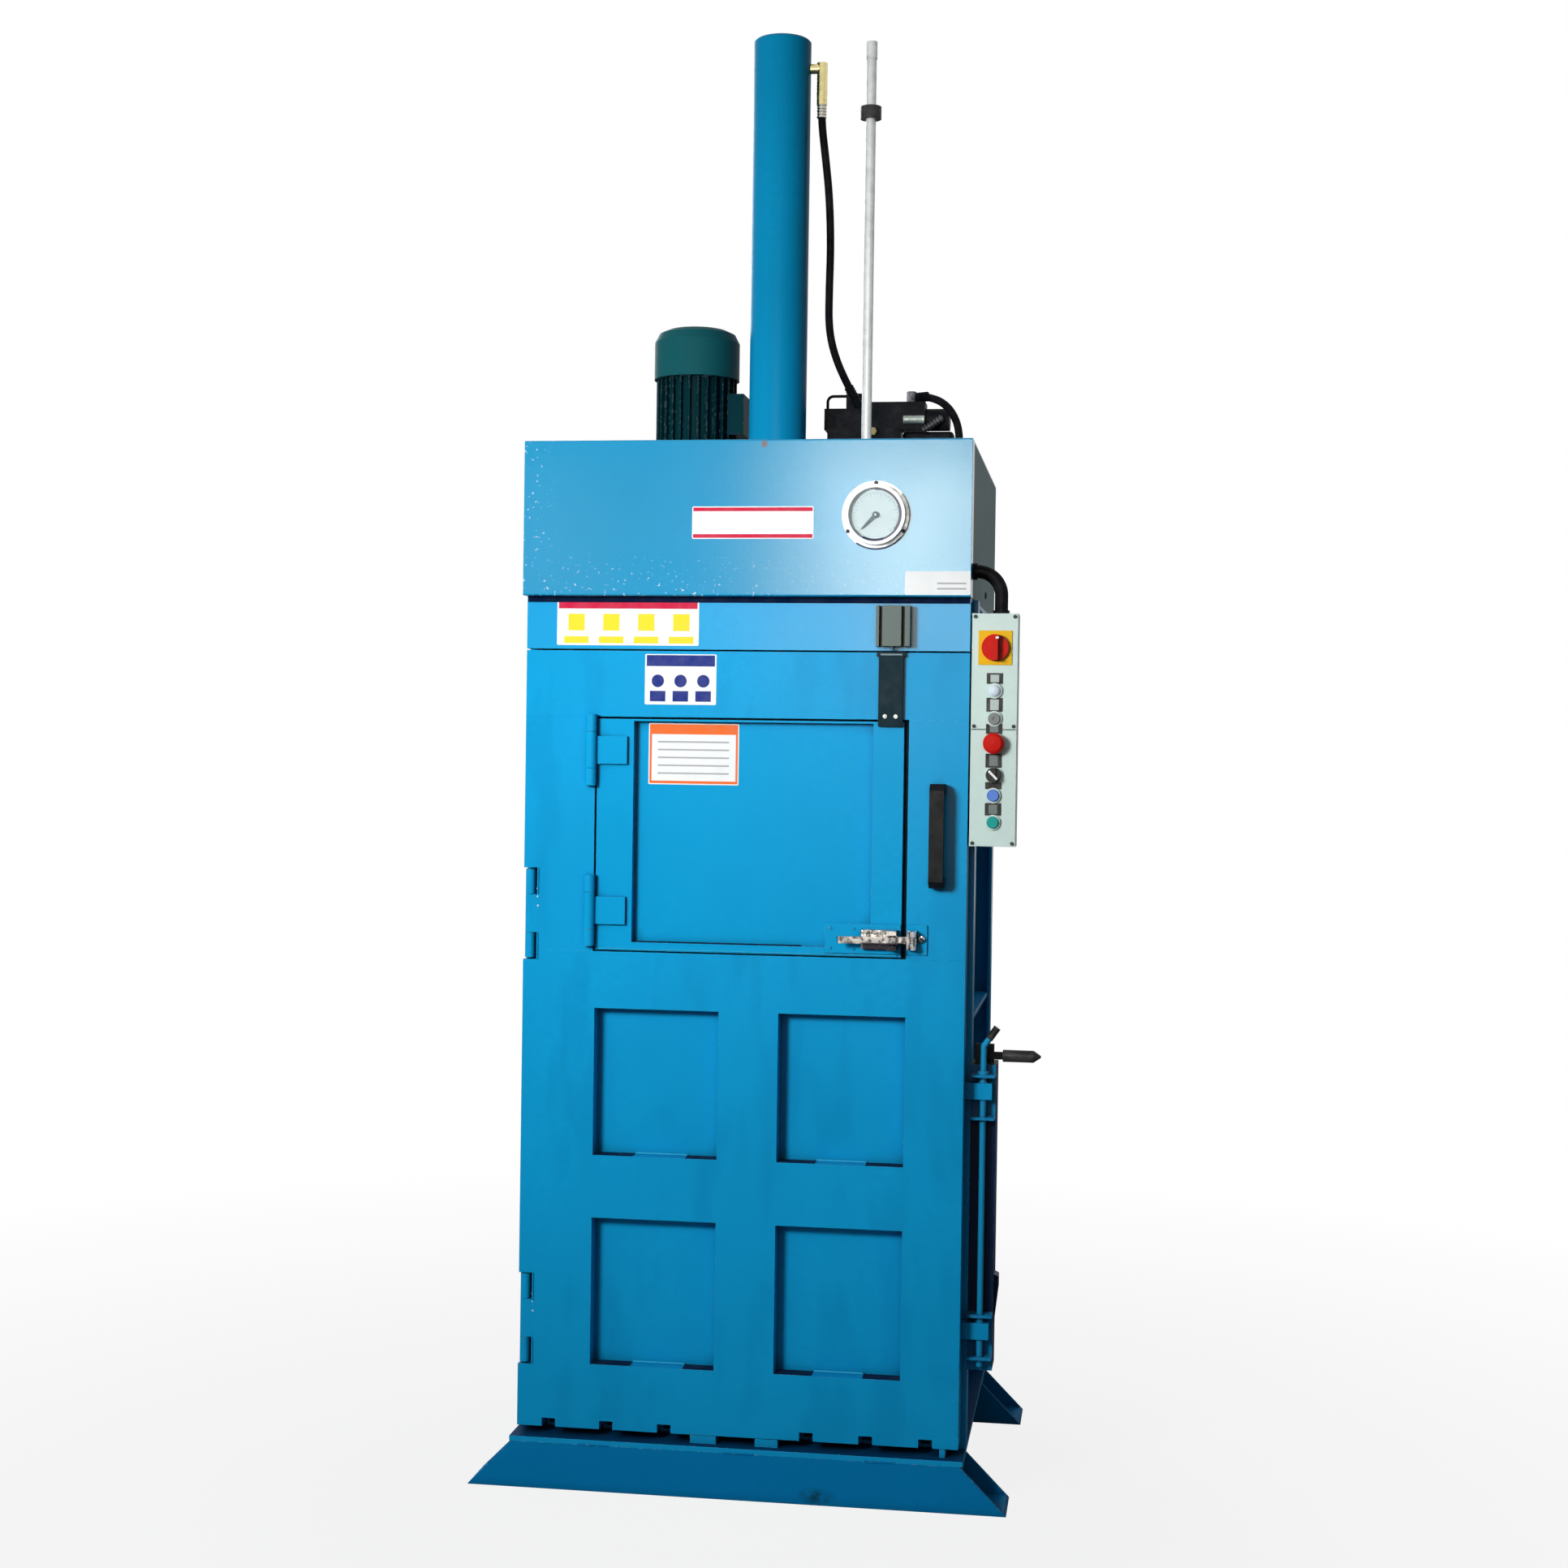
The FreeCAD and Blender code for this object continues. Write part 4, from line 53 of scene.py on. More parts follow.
CAMERA_PLACE = (0.71122, -4.25649, 1.40348)
camera_data = bpy.data.cameras.new("camera")
camera_data.lens = 52.31
camera_data.sensor_width = 36
camera_data.clip_start = 0.1
camera_data.clip_end = 100
camera = bpy.data.objects.new("camera", camera_data)
bpy.context.scene.collection.objects.link(camera)
view_right = Vector((0.98897594, 0.14738921, 0.01424834))
view_up = Vector((-0.01570321, 0.00871203, 0.99983874))
view_back = Vector((0.14724131, -0.9890402, 0.01093048))
camera.matrix_world = Matrix.Translation(CAMERA_PLACE) @ Matrix(
    (view_right, view_up, view_back)).transposed().to_4x4()
bpy.context.scene.camera = camera
bpy.context.scene.view_settings.view_transform = "Standard"


def add_node(tree, kind, **values):
    """One shader node, with its sockets set, or linked where the value is another's output."""
    made = tree.nodes.new("ShaderNode" + kind)
    for name, value in values.items():
        socket = made.inputs[int(name[1:])] if name[0] == "_" else made.inputs[name.replace("_", " ")]
        if isinstance(value, bpy.types.NodeSocket):
            tree.links.new(value, socket)
        else:
            socket.default_value = value
    return made


def result(tree, operation, *values):
    """The result of one Math node."""
    made = add_node(tree, "Math", **{"_%d" % i: v for i, v in enumerate(values)})
    made.operation = operation
    return made.outputs[0]


def vector_result(tree, operation, *values):
    """The result of one Vector Math node: a vector for MULTIPLY, and a number otherwise."""
    made = add_node(tree, "VectorMath", **{"_%d" % i: v for i, v in enumerate(values)})
    made.operation = operation
    return made.outputs["Vector" if operation == "MULTIPLY" else "Value"]


def ranged(tree, value, low, high, out_low, out_high):
    """A value moved from one range into another, and held inside it."""
    made = add_node(tree, "MapRange", Value=value, From_Min=low, From_Max=high, To_Min=out_low,
                    To_Max=out_high)
    return made.outputs[0]


def seen_directly(tree):
    """1 for what the camera, a gloss or glass sees, and 0 for the light on the object."""
    path = tree.nodes.new("ShaderNodeLightPath")
    return result(tree, "MAXIMUM", path.outputs["Is Camera Ray"],
                  result(tree, "MAXIMUM", path.outputs["Is Glossy Ray"],
                         path.outputs["Is Transmission Ray"]))


paper = bpy.data.materials.new("studio_paper")
paper.use_nodes = True
tree = paper.node_tree
tree.nodes.clear()
diffuse = add_node(tree, "BsdfDiffuse", Color=(0.36, 0.37, 0.38, 1))
glow = add_node(tree, "Emission", Color=(1, 1, 1, 1), Strength=1.0)
away = vector_result(tree, "LENGTH", tree.nodes.new("ShaderNodeNewGeometry").outputs["Position"])
share = result(tree, "MULTIPLY", tree.nodes.new("ShaderNodeLightPath").outputs["Is Camera Ray"],
               ranged(tree, away, 0.7, 3.5, 0.86, 1.0))
mixed = add_node(tree, "MixShader", _0=share, _1=diffuse.outputs[0], _2=glow.outputs[0])
add_node(tree, "OutputMaterial", Surface=mixed.outputs[0])

FLOOR_EDGE = 14
floor_mesh = bpy.data.meshes.new("floor")
floor_mesh.from_pydata([(-FLOOR_EDGE, -FLOOR_EDGE, 0), (FLOOR_EDGE, -FLOOR_EDGE, 0),
                        (FLOOR_EDGE, FLOOR_EDGE, 0), (-FLOOR_EDGE, FLOOR_EDGE, 0)],
                       [], [(0, 1, 2, 3)])
floor = bpy.data.objects.new("floor", floor_mesh)
floor_mesh.materials.append(paper)
bpy.context.scene.collection.objects.link(floor)

SKY_WAY = (-0.60, -0.35, 0.72)
world = bpy.context.scene.world or bpy.data.worlds.new("studio")
bpy.context.scene.world = world
world.use_nodes = True
tree = world.node_tree
tree.nodes.clear()
facing = vector_result(tree, "DOT_PRODUCT",
                       tree.nodes.new("ShaderNodeTexCoord").outputs["Generated"], SKY_WAY)
level = result(tree, "MAXIMUM", ranged(tree, facing, -0.3, 1.0, 0.0, 0.26), seen_directly(tree))
add_node(tree, "OutputWorld", Surface=add_node(tree, "Background", Color=(1, 1, 1, 1),
                                               Strength=level).outputs[0])


def soft_lamp(name, place, aim, width, height, watts, spread, lights="both"):
    """A studio soft box that points at one place on the machine."""
    data = bpy.data.lights.new(name, "AREA")
    data.shape = "RECTANGLE"
    data.size, data.size_y = width, height
    data.energy = watts
    data.spread = math.radians(spread)
    lamp = bpy.data.objects.new(name, data)
    lamp.location = place
    lamp.rotation_euler = (Vector(aim) - Vector(place)).to_track_quat("-Z", "Y").to_euler()
    lamp.visible_diffuse = lights != "gloss"
    lamp.visible_glossy = lights != "paint"
    bpy.context.scene.collection.objects.link(lamp)


soft_lamp("key_box", (-1.2, -2.7, 2.0), (0, 0, 1.70), 0.7, 0.6, 28, 96, "paint")
soft_lamp("flash_box", (0.08, -2.6, 1.97), (0.08, 0, 1.5), 0.6, 0.9, 18, 110, "gloss")
bpy.data.lights["flash_box"].color = (1.0, 0.97, 0.80)
soft_lamp("left_box", (-3.4, -3.2, 3.0), (0, 0.2, 1.4), 1.6, 1.6, 8, 150)
soft_lamp("rear_box", (-2.0, 3.6, 3.2), (0, 0.3, 1.2), 1.6, 1.6, 30, 150)

# ------------------------------------------------------------ feet, base plate and chamber floor
# Two bent channel feet with sloped ends carry a flat base plate and a ribbed floor sheet. All of
# it is welded mild steel, sprayed sky blue, and the feet take a darker copy of the blue as painted
# shade. The feet are scuffed low down, where boots and trolleys meet them, and the sill between
# the door rests is painted dark navy as the shadow under the door.


def new_material(name):
    """An empty node material with its shader, its output and the coordinates of the machine."""
    made = bpy.data.materials.new(name)
    made.use_nodes = True
    tree = made.node_tree
    tree.nodes.clear()
    shader = tree.nodes.new("ShaderNodeBsdfPrincipled")
    add_node(tree, "OutputMaterial", Surface=shader.outputs[0])
    place = tree.nodes.new("ShaderNodeTexCoord").outputs["Object"]
    return made, tree, shader, place


def mottle(tree, place, size, detail=2.0):
    """Noise from 0 to 1 with spots of about the given size in metres."""
    noise = add_node(tree, "TexNoise", Vector=place, Scale=1 / size, Detail=detail, Roughness=0.55)
    return noise.outputs["Fac"]


def tinted(tree, share, first, second):
    """A colour between two, by a share from 0 to 1."""
    mix = tree.nodes.new("ShaderNodeMix")
    mix.data_type = "RGBA"
    tree.links.new(share, mix.inputs[0])
    for socket, colour in ((mix.inputs[6], first), (mix.inputs[7], second)):
        if isinstance(colour, bpy.types.NodeSocket):
            tree.links.new(colour, socket)
        else:
            socket.default_value = (*colour, 1)
    return mix.outputs[2]


def relief(tree, shader, height, distance, strength=1.0, normal=None):
    """Bump on a shader from a height between 0 and 1."""
    bump = add_node(tree, "Bump", Height=height, Distance=distance, Strength=strength)
    if normal is not None:
        tree.links.new(normal, bump.inputs["Normal"])
    tree.links.new(bump.outputs[0], shader.inputs["Normal"])


def shaded(colour, share):
    """A colour made darker or lighter by a share."""
    return tuple(min(1, c * share) for c in colour)


def sprayed_steel(name, colour, roughness=0.36, specular=0.22, scuffs=0.25, crease_shade=0.6):
    """Sprayed enamel on steel: cloudy tone, orange peel, painted shade in creases and rubbed edges.
    """
    made, tree, shader, place = new_material(name)
    shader.inputs["Specular IOR Level"].default_value = specular
    clouds = ranged(tree, mottle(tree, place, 0.45, 3), 0.3, 0.7, 0, 1)
    tone = tinted(tree, clouds, shaded(colour, 0.88), shaded(colour, 1.07))
    drift = ranged(tree, mottle(tree, place, 0.016, 3), 0.25, 0.8, 0, 1)
    tone = tinted(tree, drift, tone, shaded(colour, 0.94))
    # Painted shade: the tone darkens where ambient occlusion finds creases, recesses and corners.
    crease = add_node(tree, "AmbientOcclusion", Distance=0.028)
    crease.samples = 6
    shade = ranged(tree, crease.outputs["AO"], 0.15, 0.75, crease_shade, 0)
    tone = tinted(tree, shade, tone, shaded(colour, 0.12))
    rounded = add_node(tree, "Bevel", Radius=0.0016)
    rounded.samples = 4
    facing = vector_result(tree, "DOT_PRODUCT", rounded.outputs[0],
                           tree.nodes.new("ShaderNodeNewGeometry").outputs["Normal"])
    edge = ranged(tree, facing, 0.985, 0.90, 0, 1)
    chips_and_glints = ranged(tree, mottle(tree, place, 0.009, 4), 0.52, 0.60, 0, 1)
    worn = result(tree, "MULTIPLY", result(tree, "MULTIPLY", edge, chips_and_glints), scuffs)
    tone = tinted(tree, worn, tone, (0.42, 0.55, 0.62))
    tree.links.new(tone, shader.inputs["Base Color"])
    dull = ranged(tree, mottle(tree, place, 0.2, 2), 0.3, 0.75, roughness - 0.02, roughness + 0.03)
    tree.links.new(dull, shader.inputs["Roughness"])
    relief(tree, shader, mottle(tree, place, 0.004, 2), 0.0004, 0.35, rounded.outputs[0])
    return made


def opened(material):
    """A finish's node tree and its coordinates on the machine, for another layer of paint."""
    tree = material.node_tree
    return tree, tree.nodes.new("ShaderNodeTexCoord").outputs["Object"]


def paint_over(material, share, colour):
    """Tints the base colour of a finish, by a share from 0 to 1."""
    tree = material.node_tree
    base = tree.nodes["Principled BSDF"].inputs["Base Color"]
    tree.links.new(tinted(tree, share, base.links[0].from_socket, colour), base)


def dress(material, *nodes):
    """Gives CAD nodes one finish."""
    for name in nodes:
        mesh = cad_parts[name].data
        mesh.materials.clear()
        mesh.materials.append(material)


def dress_where(material, name, test):
    """Gives another finish to the faces of a node whose middle, in millimetres, passes a test."""
    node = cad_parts[name]
    node.data.materials.append(material)
    for face in node.data.polygons:
        if test(node.matrix_world @ face.center / MM):
            face.material_index = len(node.data.materials) - 1


SKY_BLUE = (0.004, 0.335, 0.665)
# Painted shade: the feet take a darker copy of the sky blue, as they stand low in less light.
SHADED_FOOT_BLUE = (0.002, 0.215, 0.50)
SCUFF_PLACE, SCUFF_FLATNESS = (0.160, 0, 0.036), 2.2
REST_HEIGHT = 15
chamber_blue = sprayed_steel("chamber_blue", SKY_BLUE, 0.36, 0.13)
foot_blue = sprayed_steel("foot_blue", SHADED_FOOT_BLUE, 0.5, 0.02, 0.6, 0.7)
tree, place = opened(foot_blue)
squashed = vector_result(tree, "MULTIPLY", place, (1, 0, SCUFF_FLATNESS))
near_scuff = ranged(tree, vector_result(tree, "DISTANCE", squashed, SCUFF_PLACE),
                    0.012, 0.040, 0.8, 0)
rubbed = ranged(tree, mottle(tree, place, 0.012, 4), 0.38, 0.58, 0.25, 1)
paint_over(foot_blue, result(tree, "MULTIPLY", near_scuff, rubbed), (0.006, 0.045, 0.060))
dress(foot_blue, "feet")
dress(chamber_blue, "base_plate", "chamber_floor")
# Painted shadow: the sill's top under the door is dark navy.
sill_shadow = sprayed_steel("sill_shadow", (0.002, 0.05, 0.14), 0.6, 0.04, 0.6, 0.7)
sill_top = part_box("base_plate")[1].z / MM - REST_HEIGHT
dress_where(sill_shadow, "base_plate", lambda middle: abs(middle.z - sill_top) < 0.1)


def piece(name, mesh, body, slot, *materials):
    """A new mesh that rides on a body, with the finishes given. Its slot is not used."""
    for material in materials:
        mesh.materials.append(material)
    made = bpy.data.objects.new(name, mesh)
    bpy.context.scene.collection.objects.link(made)
    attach(made, body)
    return made


def smooth_round(mesh, limit=35):
    """Smooth shading on round faces, with edges over the limit kept crisp."""
    shape = bmesh.new()
    shape.from_mesh(mesh)
    for face in shape.faces:
        face.smooth = True
    for edge in shape.edges:
        edge.smooth = len(edge.link_faces) == 2 and edge.calc_face_angle(0) < math.radians(limit)
    shape.to_mesh(mesh)
    shape.free()


def ring_of_points(centre, turn, radius, rise, count):
    """Points round a circle, which stands at a rise along the way that the turn gives."""
    points = []
    for k in range(count):
        angle = 2 * math.pi * k / count
        points.append(centre + turn @ Vector((radius * math.cos(angle), radius * math.sin(angle),
                                              rise)))
    return points


def skin_over(name, rings):
    """A mesh over a row of rings of points, closed at both ends."""
    count = len(rings[0])
    faces = []
    for ring in range(len(rings) - 1):
        for k in range(count):
            after = (k + 1) % count
            faces.append((ring * count + k, ring * count + after, (ring + 1) * count + after,
                          (ring + 1) * count + k))
    faces.append(tuple(range(count))[::-1])
    faces.append(tuple(range((len(rings) - 1) * count, len(rings) * count)))
    mesh = bpy.data.meshes.new(name)
    mesh.from_pydata([point for ring in rings for point in ring], [], faces)
    return mesh


def weld_bead(name, start, end, radius, body, paint):
    """A hand-laid weld: overlapping ripples along a joint, painted over."""
    start, end = Vector(start) * MM, Vector(end) * MM
    along = end - start
    turn = along.normalized().to_track_quat("Z", "Y").to_matrix()
    dice = random.Random(name)
    last = 2 * max(3, int(along.length / (radius * MM * 0.8)))
    rings = []
    for i in range(last + 1):
        swell = 1.0 if i % 2 else 0.82
        thick = radius * MM * swell * dice.uniform(0.9, 1.06)
        if i in (0, last):
            thick *= 0.35
        rings.append(ring_of_points(start + along * (i / last), turn, thick, 0, 10))
    mesh = skin_over(name, rings)
    smooth_round(mesh, 60)
    return piece(name, mesh, body, "blue_paint", paint)


SEAM_Y, SEAM_Z, SEAM_LENGTH = -18.4, 88.6, 60
for k, x in enumerate((-300, -20, 250)):
    weld_bead("foot_weld_%d" % k, (x, SEAM_Y, SEAM_Z), (x + SEAM_LENGTH, SEAM_Y, SEAM_Z), 2.4,
              "body", foot_blue)

# ------------------------------------------------------------ chamber walls, header and crown
# Folded sheet walls with outside ribs, a rear wall, a plain header panel over the door and the
# crown beam that holds the cylinder. All are steel, welded and sprayed in one colour.

header_blue = sprayed_steel("header_blue", SKY_BLUE, 0.33, 0.2, 0.3, 0.65)
dress(chamber_blue, "left_side_wall", "right_side_wall", "rear_wall", "crown_beam")
dress(header_blue, "header_panel")

# ------------------------------------------------------------ roof cover
# A folded steel hood stands proud of the header, over a dark strip that stands for the painted
# shadow it casts there. Its front is chipped to the primer along the left and lower edges, with a
# rust spot near the top, and its sides are a duller blue-grey, darkened as painted shade.


def moulded(name, colour, roughness=0.5, grain=0.0015, dust=0.12, specular=0.15):
    """Rubber, plastic or blacked parts: an even colour with dust, fine grain and rubbed patches."""
    made, tree, shader, place = new_material(name)
    shader.inputs["Specular IOR Level"].default_value = specular
    dusty = tuple(c * (1 - dust) + dust * 0.55 for c in colour)
    patches = ranged(tree, mottle(tree, place, 0.03, 4), 0.35, 0.75, 0, 1)
    tree.links.new(tinted(tree, patches, colour, dusty), shader.inputs["Base Color"])
    worn = ranged(tree, mottle(tree, place, 0.012, 3), 0.3, 0.8, roughness - 0.1, roughness + 0.15)
    tree.links.new(worn, shader.inputs["Roughness"])
    relief(tree, shader, mottle(tree, place, grain), 0.0003, 0.5)
    return made


def mesh_from(shape, name):
    """The mesh of a finished shape."""
    mesh = bpy.data.meshes.new(name)
    shape.to_mesh(mesh)
    shape.free()
    return mesh


def bevelled_sheet(name, low, high, width):
    """A small plate with rounded edges, between two corners in millimetres."""
    shape = bmesh.new()
    bmesh.ops.create_cube(shape, size=1)
    for vertex in shape.verts:
        for axis in range(3):
            vertex.co[axis] = (high if vertex.co[axis] > 0 else low)[axis] * MM
    bmesh.ops.bevel(shape, geom=shape.edges, offset=width * MM, segments=2, affect="EDGES",
                    profile=0.5)
    return mesh_from(shape, name)


def rounded_block(name, low, high, width, body, slot, material):
    """A small plate or block with rounded edges, as a piece that rides on a body."""
    return piece(name, bevelled_sheet(name, low, high, width), body, slot, material)


LOW_FADE, LEFT_FADE = (1.709, 1.80), (-0.427, -0.36)
RUST_PLACE = (0.036, -0.03, 1.994)
SHADOW_DEPTH, SHADOW_INSET, SHADOW_PROUD = 11, 3, 1.5
cover_blue = sprayed_steel("cover_blue", (0.004, 0.265, 0.50), 0.20, 0.28, 0.6, 0.6)
tree, place = opened(cover_blue)
across = add_node(tree, "SeparateXYZ", Vector=place)
low_edge = result(tree, "MULTIPLY", ranged(tree, across.outputs["Z"], *LOW_FADE, 1, 0),
                  ranged(tree, across.outputs["X"], -0.1, 0.15, 1, 0.2))
left_edge = ranged(tree, across.outputs["X"], *LEFT_FADE, 1, 0)
near_edge = result(tree, "MAXIMUM", low_edge, left_edge)
specks = ranged(tree, mottle(tree, place, 0.0075, 3), 0.645, 0.67, 0, 1)
paint_over(cover_blue, result(tree, "MULTIPLY", specks, near_edge), (0.62, 0.74, 0.78))
rust = ranged(tree, vector_result(tree, "DISTANCE", place, RUST_PLACE), 0.003, 0.009, 0.85, 0)
paint_over(cover_blue, rust, (0.16, 0.07, 0.03))
# Painted shade: the side covers' duller blue-grey is darkened for the shade they stand in.
shaded_cover_side = sprayed_steel("shaded_cover_side", (0.15, 0.30, 0.32), 0.5, 0.02, 0.3, 0.6)
dress(cover_blue, "front_cover", "top_deck")
dress(shaded_cover_side, "side_covers")
hood_low, hood_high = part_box("front_cover")
header_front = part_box("header_panel")[0].y / MM
# Painted shadow: a dark strip under the hood's lower edge stands for the shadow it casts.
rounded_block("hood_shadow_strip", (hood_low.x / MM + SHADOW_INSET, header_front - SHADOW_PROUD,
                            hood_low.z / MM - SHADOW_DEPTH),
              (hood_high.x / MM - SHADOW_INSET, header_front, hood_low.z / MM), 0.5, "body",
              "hose_rubber", moulded("hood_shadow_strip", (0.001, 0.008, 0.035), 0.7, 0.002, 0.02, 0.02))

# ------------------------------------------------------------ power pack
# An oil tank with a pump hangs under the deck. Above it stands a finned cast motor with a pressed
# fan cowl, in dark blue-green enamel, with its terminal box on the right.


def plated(name, colour, roughness=0.22, dull=0.25, grain=0.002, metal=1.0):
    """Bare, plated or galvanised steel with stains and handling marks."""
    made, tree, shader, place = new_material(name)
    shader.inputs["Metallic"].default_value = metal
    patches = ranged(tree, mottle(tree, place, 0.02, 5), 0.4, 0.7, 0, 1)
    stained = tinted(tree, patches, colour, shaded(colour, 1 - dull))
    tree.links.new(stained, shader.inputs["Base Color"])
    marks = ranged(tree, mottle(tree, place, 0.006, 4), 0.3, 0.8, roughness * 0.7, roughness * 1.6)
    tree.links.new(marks, shader.inputs["Roughness"])
    relief(tree, shader, mottle(tree, place, grain, 3), 0.0002, 0.35)
    return made


motor_green = sprayed_steel("motor_green", (0.008, 0.100, 0.115), 0.5, 0.05, 0.4, 0.8)
# Painted shade: the finned housing takes a much darker copy of the enamel for the shade between its
# fins.
shaded_fin_green = sprayed_steel("shaded_fin_green", (0.002, 0.032, 0.042), 0.5, 0.02, 0.4, 0.9)
cast_black = moulded("cast_black", (0.004, 0.005, 0.008), 0.5, 0.002, 0.02, 0.05)
turned_steel = plated("turned_steel", (0.60, 0.61, 0.62), 0.3)
dress(motor_green, "fan_cowl")
dress(shaded_fin_green, "motor_housing")
dress(turned_steel, "motor_rotor")
dress(chamber_blue, "oil_tank")
dress(cast_black, "pump")

# ------------------------------------------------------------ valves and pipe fittings
# A black cast manifold on the deck carries a directional valve with a bare steel band, a ribbed
# rubber gland and a grey head. A brass plug closes the manifold's spare port, and a zinc-yellow
# elbow is screwed into the top of the cylinder.

HEAD_FOOT, COIL_FRONT, DECK_TOP = 2149.5, 467, 2003
zinc_yellow = plated("zinc_yellow", (0.72, 0.62, 0.30), 0.28, 0.35)
plug_steel = plated("plug_steel", (0.17, 0.18, 0.21), 0.5, 0.45, metal=0.2)
dress(cast_black, "valve_manifold", "solenoid_valve")
dress_where(plug_steel, "solenoid_valve", lambda middle: middle.z > HEAD_FOOT)
dress(zinc_yellow, "port_elbow")


def turned_piece(name, profile, start, way, body, slot, material, steps=28, flats=0):
    """A lathe-turned piece: (radius, distance) pairs in mm along a way. Flats make a hexagon."""
    turn = Vector(way).normalized().to_track_quat("Z", "Y").to_matrix()
    rings = [ring_of_points(Vector(start) * MM, turn, radius * MM, distance * MM, flats or steps)
             for radius, distance in profile]
    mesh = skin_over(name, rings)
    if not flats:
        smooth_round(mesh)
    return piece(name, mesh, body, slot, material)


plug = [(9, 0), (9, 7.2), (7.65, 9)]
turned_piece("manifold_plug", plug, (188, 442, 2084), (0, -1, 0), "body", "brass_fitting",
             moulded("brass_dull", (0.30, 0.25, 0.10), 0.5), flats=6)
gland = [(4, 0)]
for k in range(7):
    rib = 1 + k * 7
    gland += [(8, rib), (8, rib + 3), (5.5, rib + 4), (5.5, rib + 6)]
turned_piece("coil_gland", gland, (289, COIL_FRONT - 7, 2088), (0.84, 0, 0.54), "body",
             "hose_rubber", moulded("ribbed_rubber", (0.02, 0.022, 0.026), 0.4, specular=0.4))
band = [(6, 0), (8.5, 1.5), (8.5, 44), (6, 45.5)]
valve_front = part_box("solenoid_valve")[0].y / MM
turned_piece("valve_band", band, (247.5, valve_front - 2, 2111.5), (1, 0, 0), "body",
             "bare_steel", plated("band_steel", (0.50, 0.58, 0.54), 0.45, 0.3, metal=0.4))
rounded_block("cable_block", (246, 470, DECK_TOP), (352, 516, 2088), 7, "body", "black_plastic",
              cast_black)

# ------------------------------------------------------------ cylinder, ram and platen
# A honed tube, sprayed a deeper satin blue, bolted to the crown with hexagon screws. The chromed
# ram rod carries the platen, and a galvanised indicator rod rises with it past the cylinder.

cylinder_blue = sprayed_steel("cylinder_blue", (0.002, 0.26, 0.50), 0.36, 0.04, 0.2, 0.5)
hard_chrome = plated("hard_chrome", (0.78, 0.79, 0.80), 0.1, 0.08)
galvanised = plated("galvanised", (0.74, 0.77, 0.76), 0.42, 0.2, 0.004, 0.35)
dress(cylinder_blue, "cylinder_tube")
dress(hard_chrome, "ram_rod")
dress(chamber_blue, "platen")
dress(galvanised, "indicator_rod")
black_nylon = moulded("black_nylon", (0.014, 0.014, 0.015), 0.45)
dress(black_nylon, "rod_collar")

# ------------------------------------------------------------ hydraulic hoses
# Two black rubber hoses with crimped steel ends, of which only the topmost is bare. The longer one
# carries oil from the manifold to the top of the cylinder. The shorter one goes from the valve
# down through the roof, where a moulded rubber boot seals it.

HOSE_RADIUS, RIB_PITCH = 8, 6
hose_black = moulded("hose_rubber", (0.003, 0.003, 0.005), 0.5, 0.0012, 0.02, 0.04)
crimped_steel = plated("crimped_steel", (0.62, 0.60, 0.52), 0.3)

pressure_route = [(82, 360, 2737), (82, 360, 2703), (90, 362, 2638), (99, 368, 2557),
                  (102, 380, 2460), (98, 395, 2364), (96, 410, 2300), (103, 425, 2253),
                  (122, 442, 2201), (146, 461, 2156)]
rod_side_route = [(274, 483.6, 2160), (284.6, 478, 2160), (303.9, 467.7, 2157.1),
                  (326.9, 455.5, 2146.9), (346.1, 445.3, 2129.2), (359.7, 438, 2105.9),
                  (366.5, 434.4, 2079), (367.7, 433.8, 2040), (367.7, 433.8, 2003)]


def rubber_hose(name, route):
    """One smooth curve along the hose's route."""
    curve = bpy.data.curves.new(name, "CURVE")
    curve.dimensions = "3D"
    curve.bevel_depth = HOSE_RADIUS * MM
    curve.bevel_resolution = 5
    curve.use_fill_caps = True
    spline = curve.splines.new("NURBS")
    spline.points.add(len(route) - 1)
    for point, place in zip(spline.points, route):
        point.co = (*(Vector(place) * MM), 1)
    spline.order_u = 3
    spline.use_endpoint_u = True
    spline.resolution_u = 12
    curve.materials.append(hose_black)
    made = bpy.data.objects.new(name, curve)
    bpy.context.scene.collection.objects.link(made)
    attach(made, "body")
    return made


def crimped_end(name, start, towards, finish):
    """A ribbed crimp sleeve over the end of a hose."""
    crest, groove = HOSE_RADIUS + 2.2, HOSE_RADIUS + 1.2
    sleeve = [(HOSE_RADIUS, 0), (crest, 0.5)]
    for k in range(4):
        rib = 2 + k * RIB_PITCH
        sleeve += [(crest, rib), (groove, rib + 1.2), (groove, rib + 2.4), (crest, rib + 3.6)]
    sleeve += [(crest, 26), (HOSE_RADIUS + 0.4, 27.5)]
    return turned_piece(name, sleeve, start, Vector(towards) - Vector(start), "body",
                        "brass_fitting", finish)


upper_crimp = crimped_end("pressure_hose_upper_crimp", pressure_route[0], pressure_route[1],
                          crimped_steel)
lower_crimp = crimped_end("pressure_hose_lower_crimp", pressure_route[-1], pressure_route[-2],
                          hose_black)
pressure_hose = rubber_hose("pressure_hose_rubber", pressure_route)
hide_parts("pressure_hose")
valve_crimp = crimped_end("rod_side_hose_crimp", rod_side_route[0], rod_side_route[1], hose_black)
rod_side_hose = rubber_hose("rod_side_hose_rubber", rod_side_route)
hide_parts("rod_side_hose")
boot = [(24, 0), (24, 4)]
for k in range(5):
    boot += [(22 - k * 3, 5 + k * 11), (20 - k * 3, 13 + k * 11)]
boot.append((8.3, 62))
turned_piece("hose_boot", boot, rod_side_route[-1], (0, 0, 1), "body", "hose_rubber", hose_black)
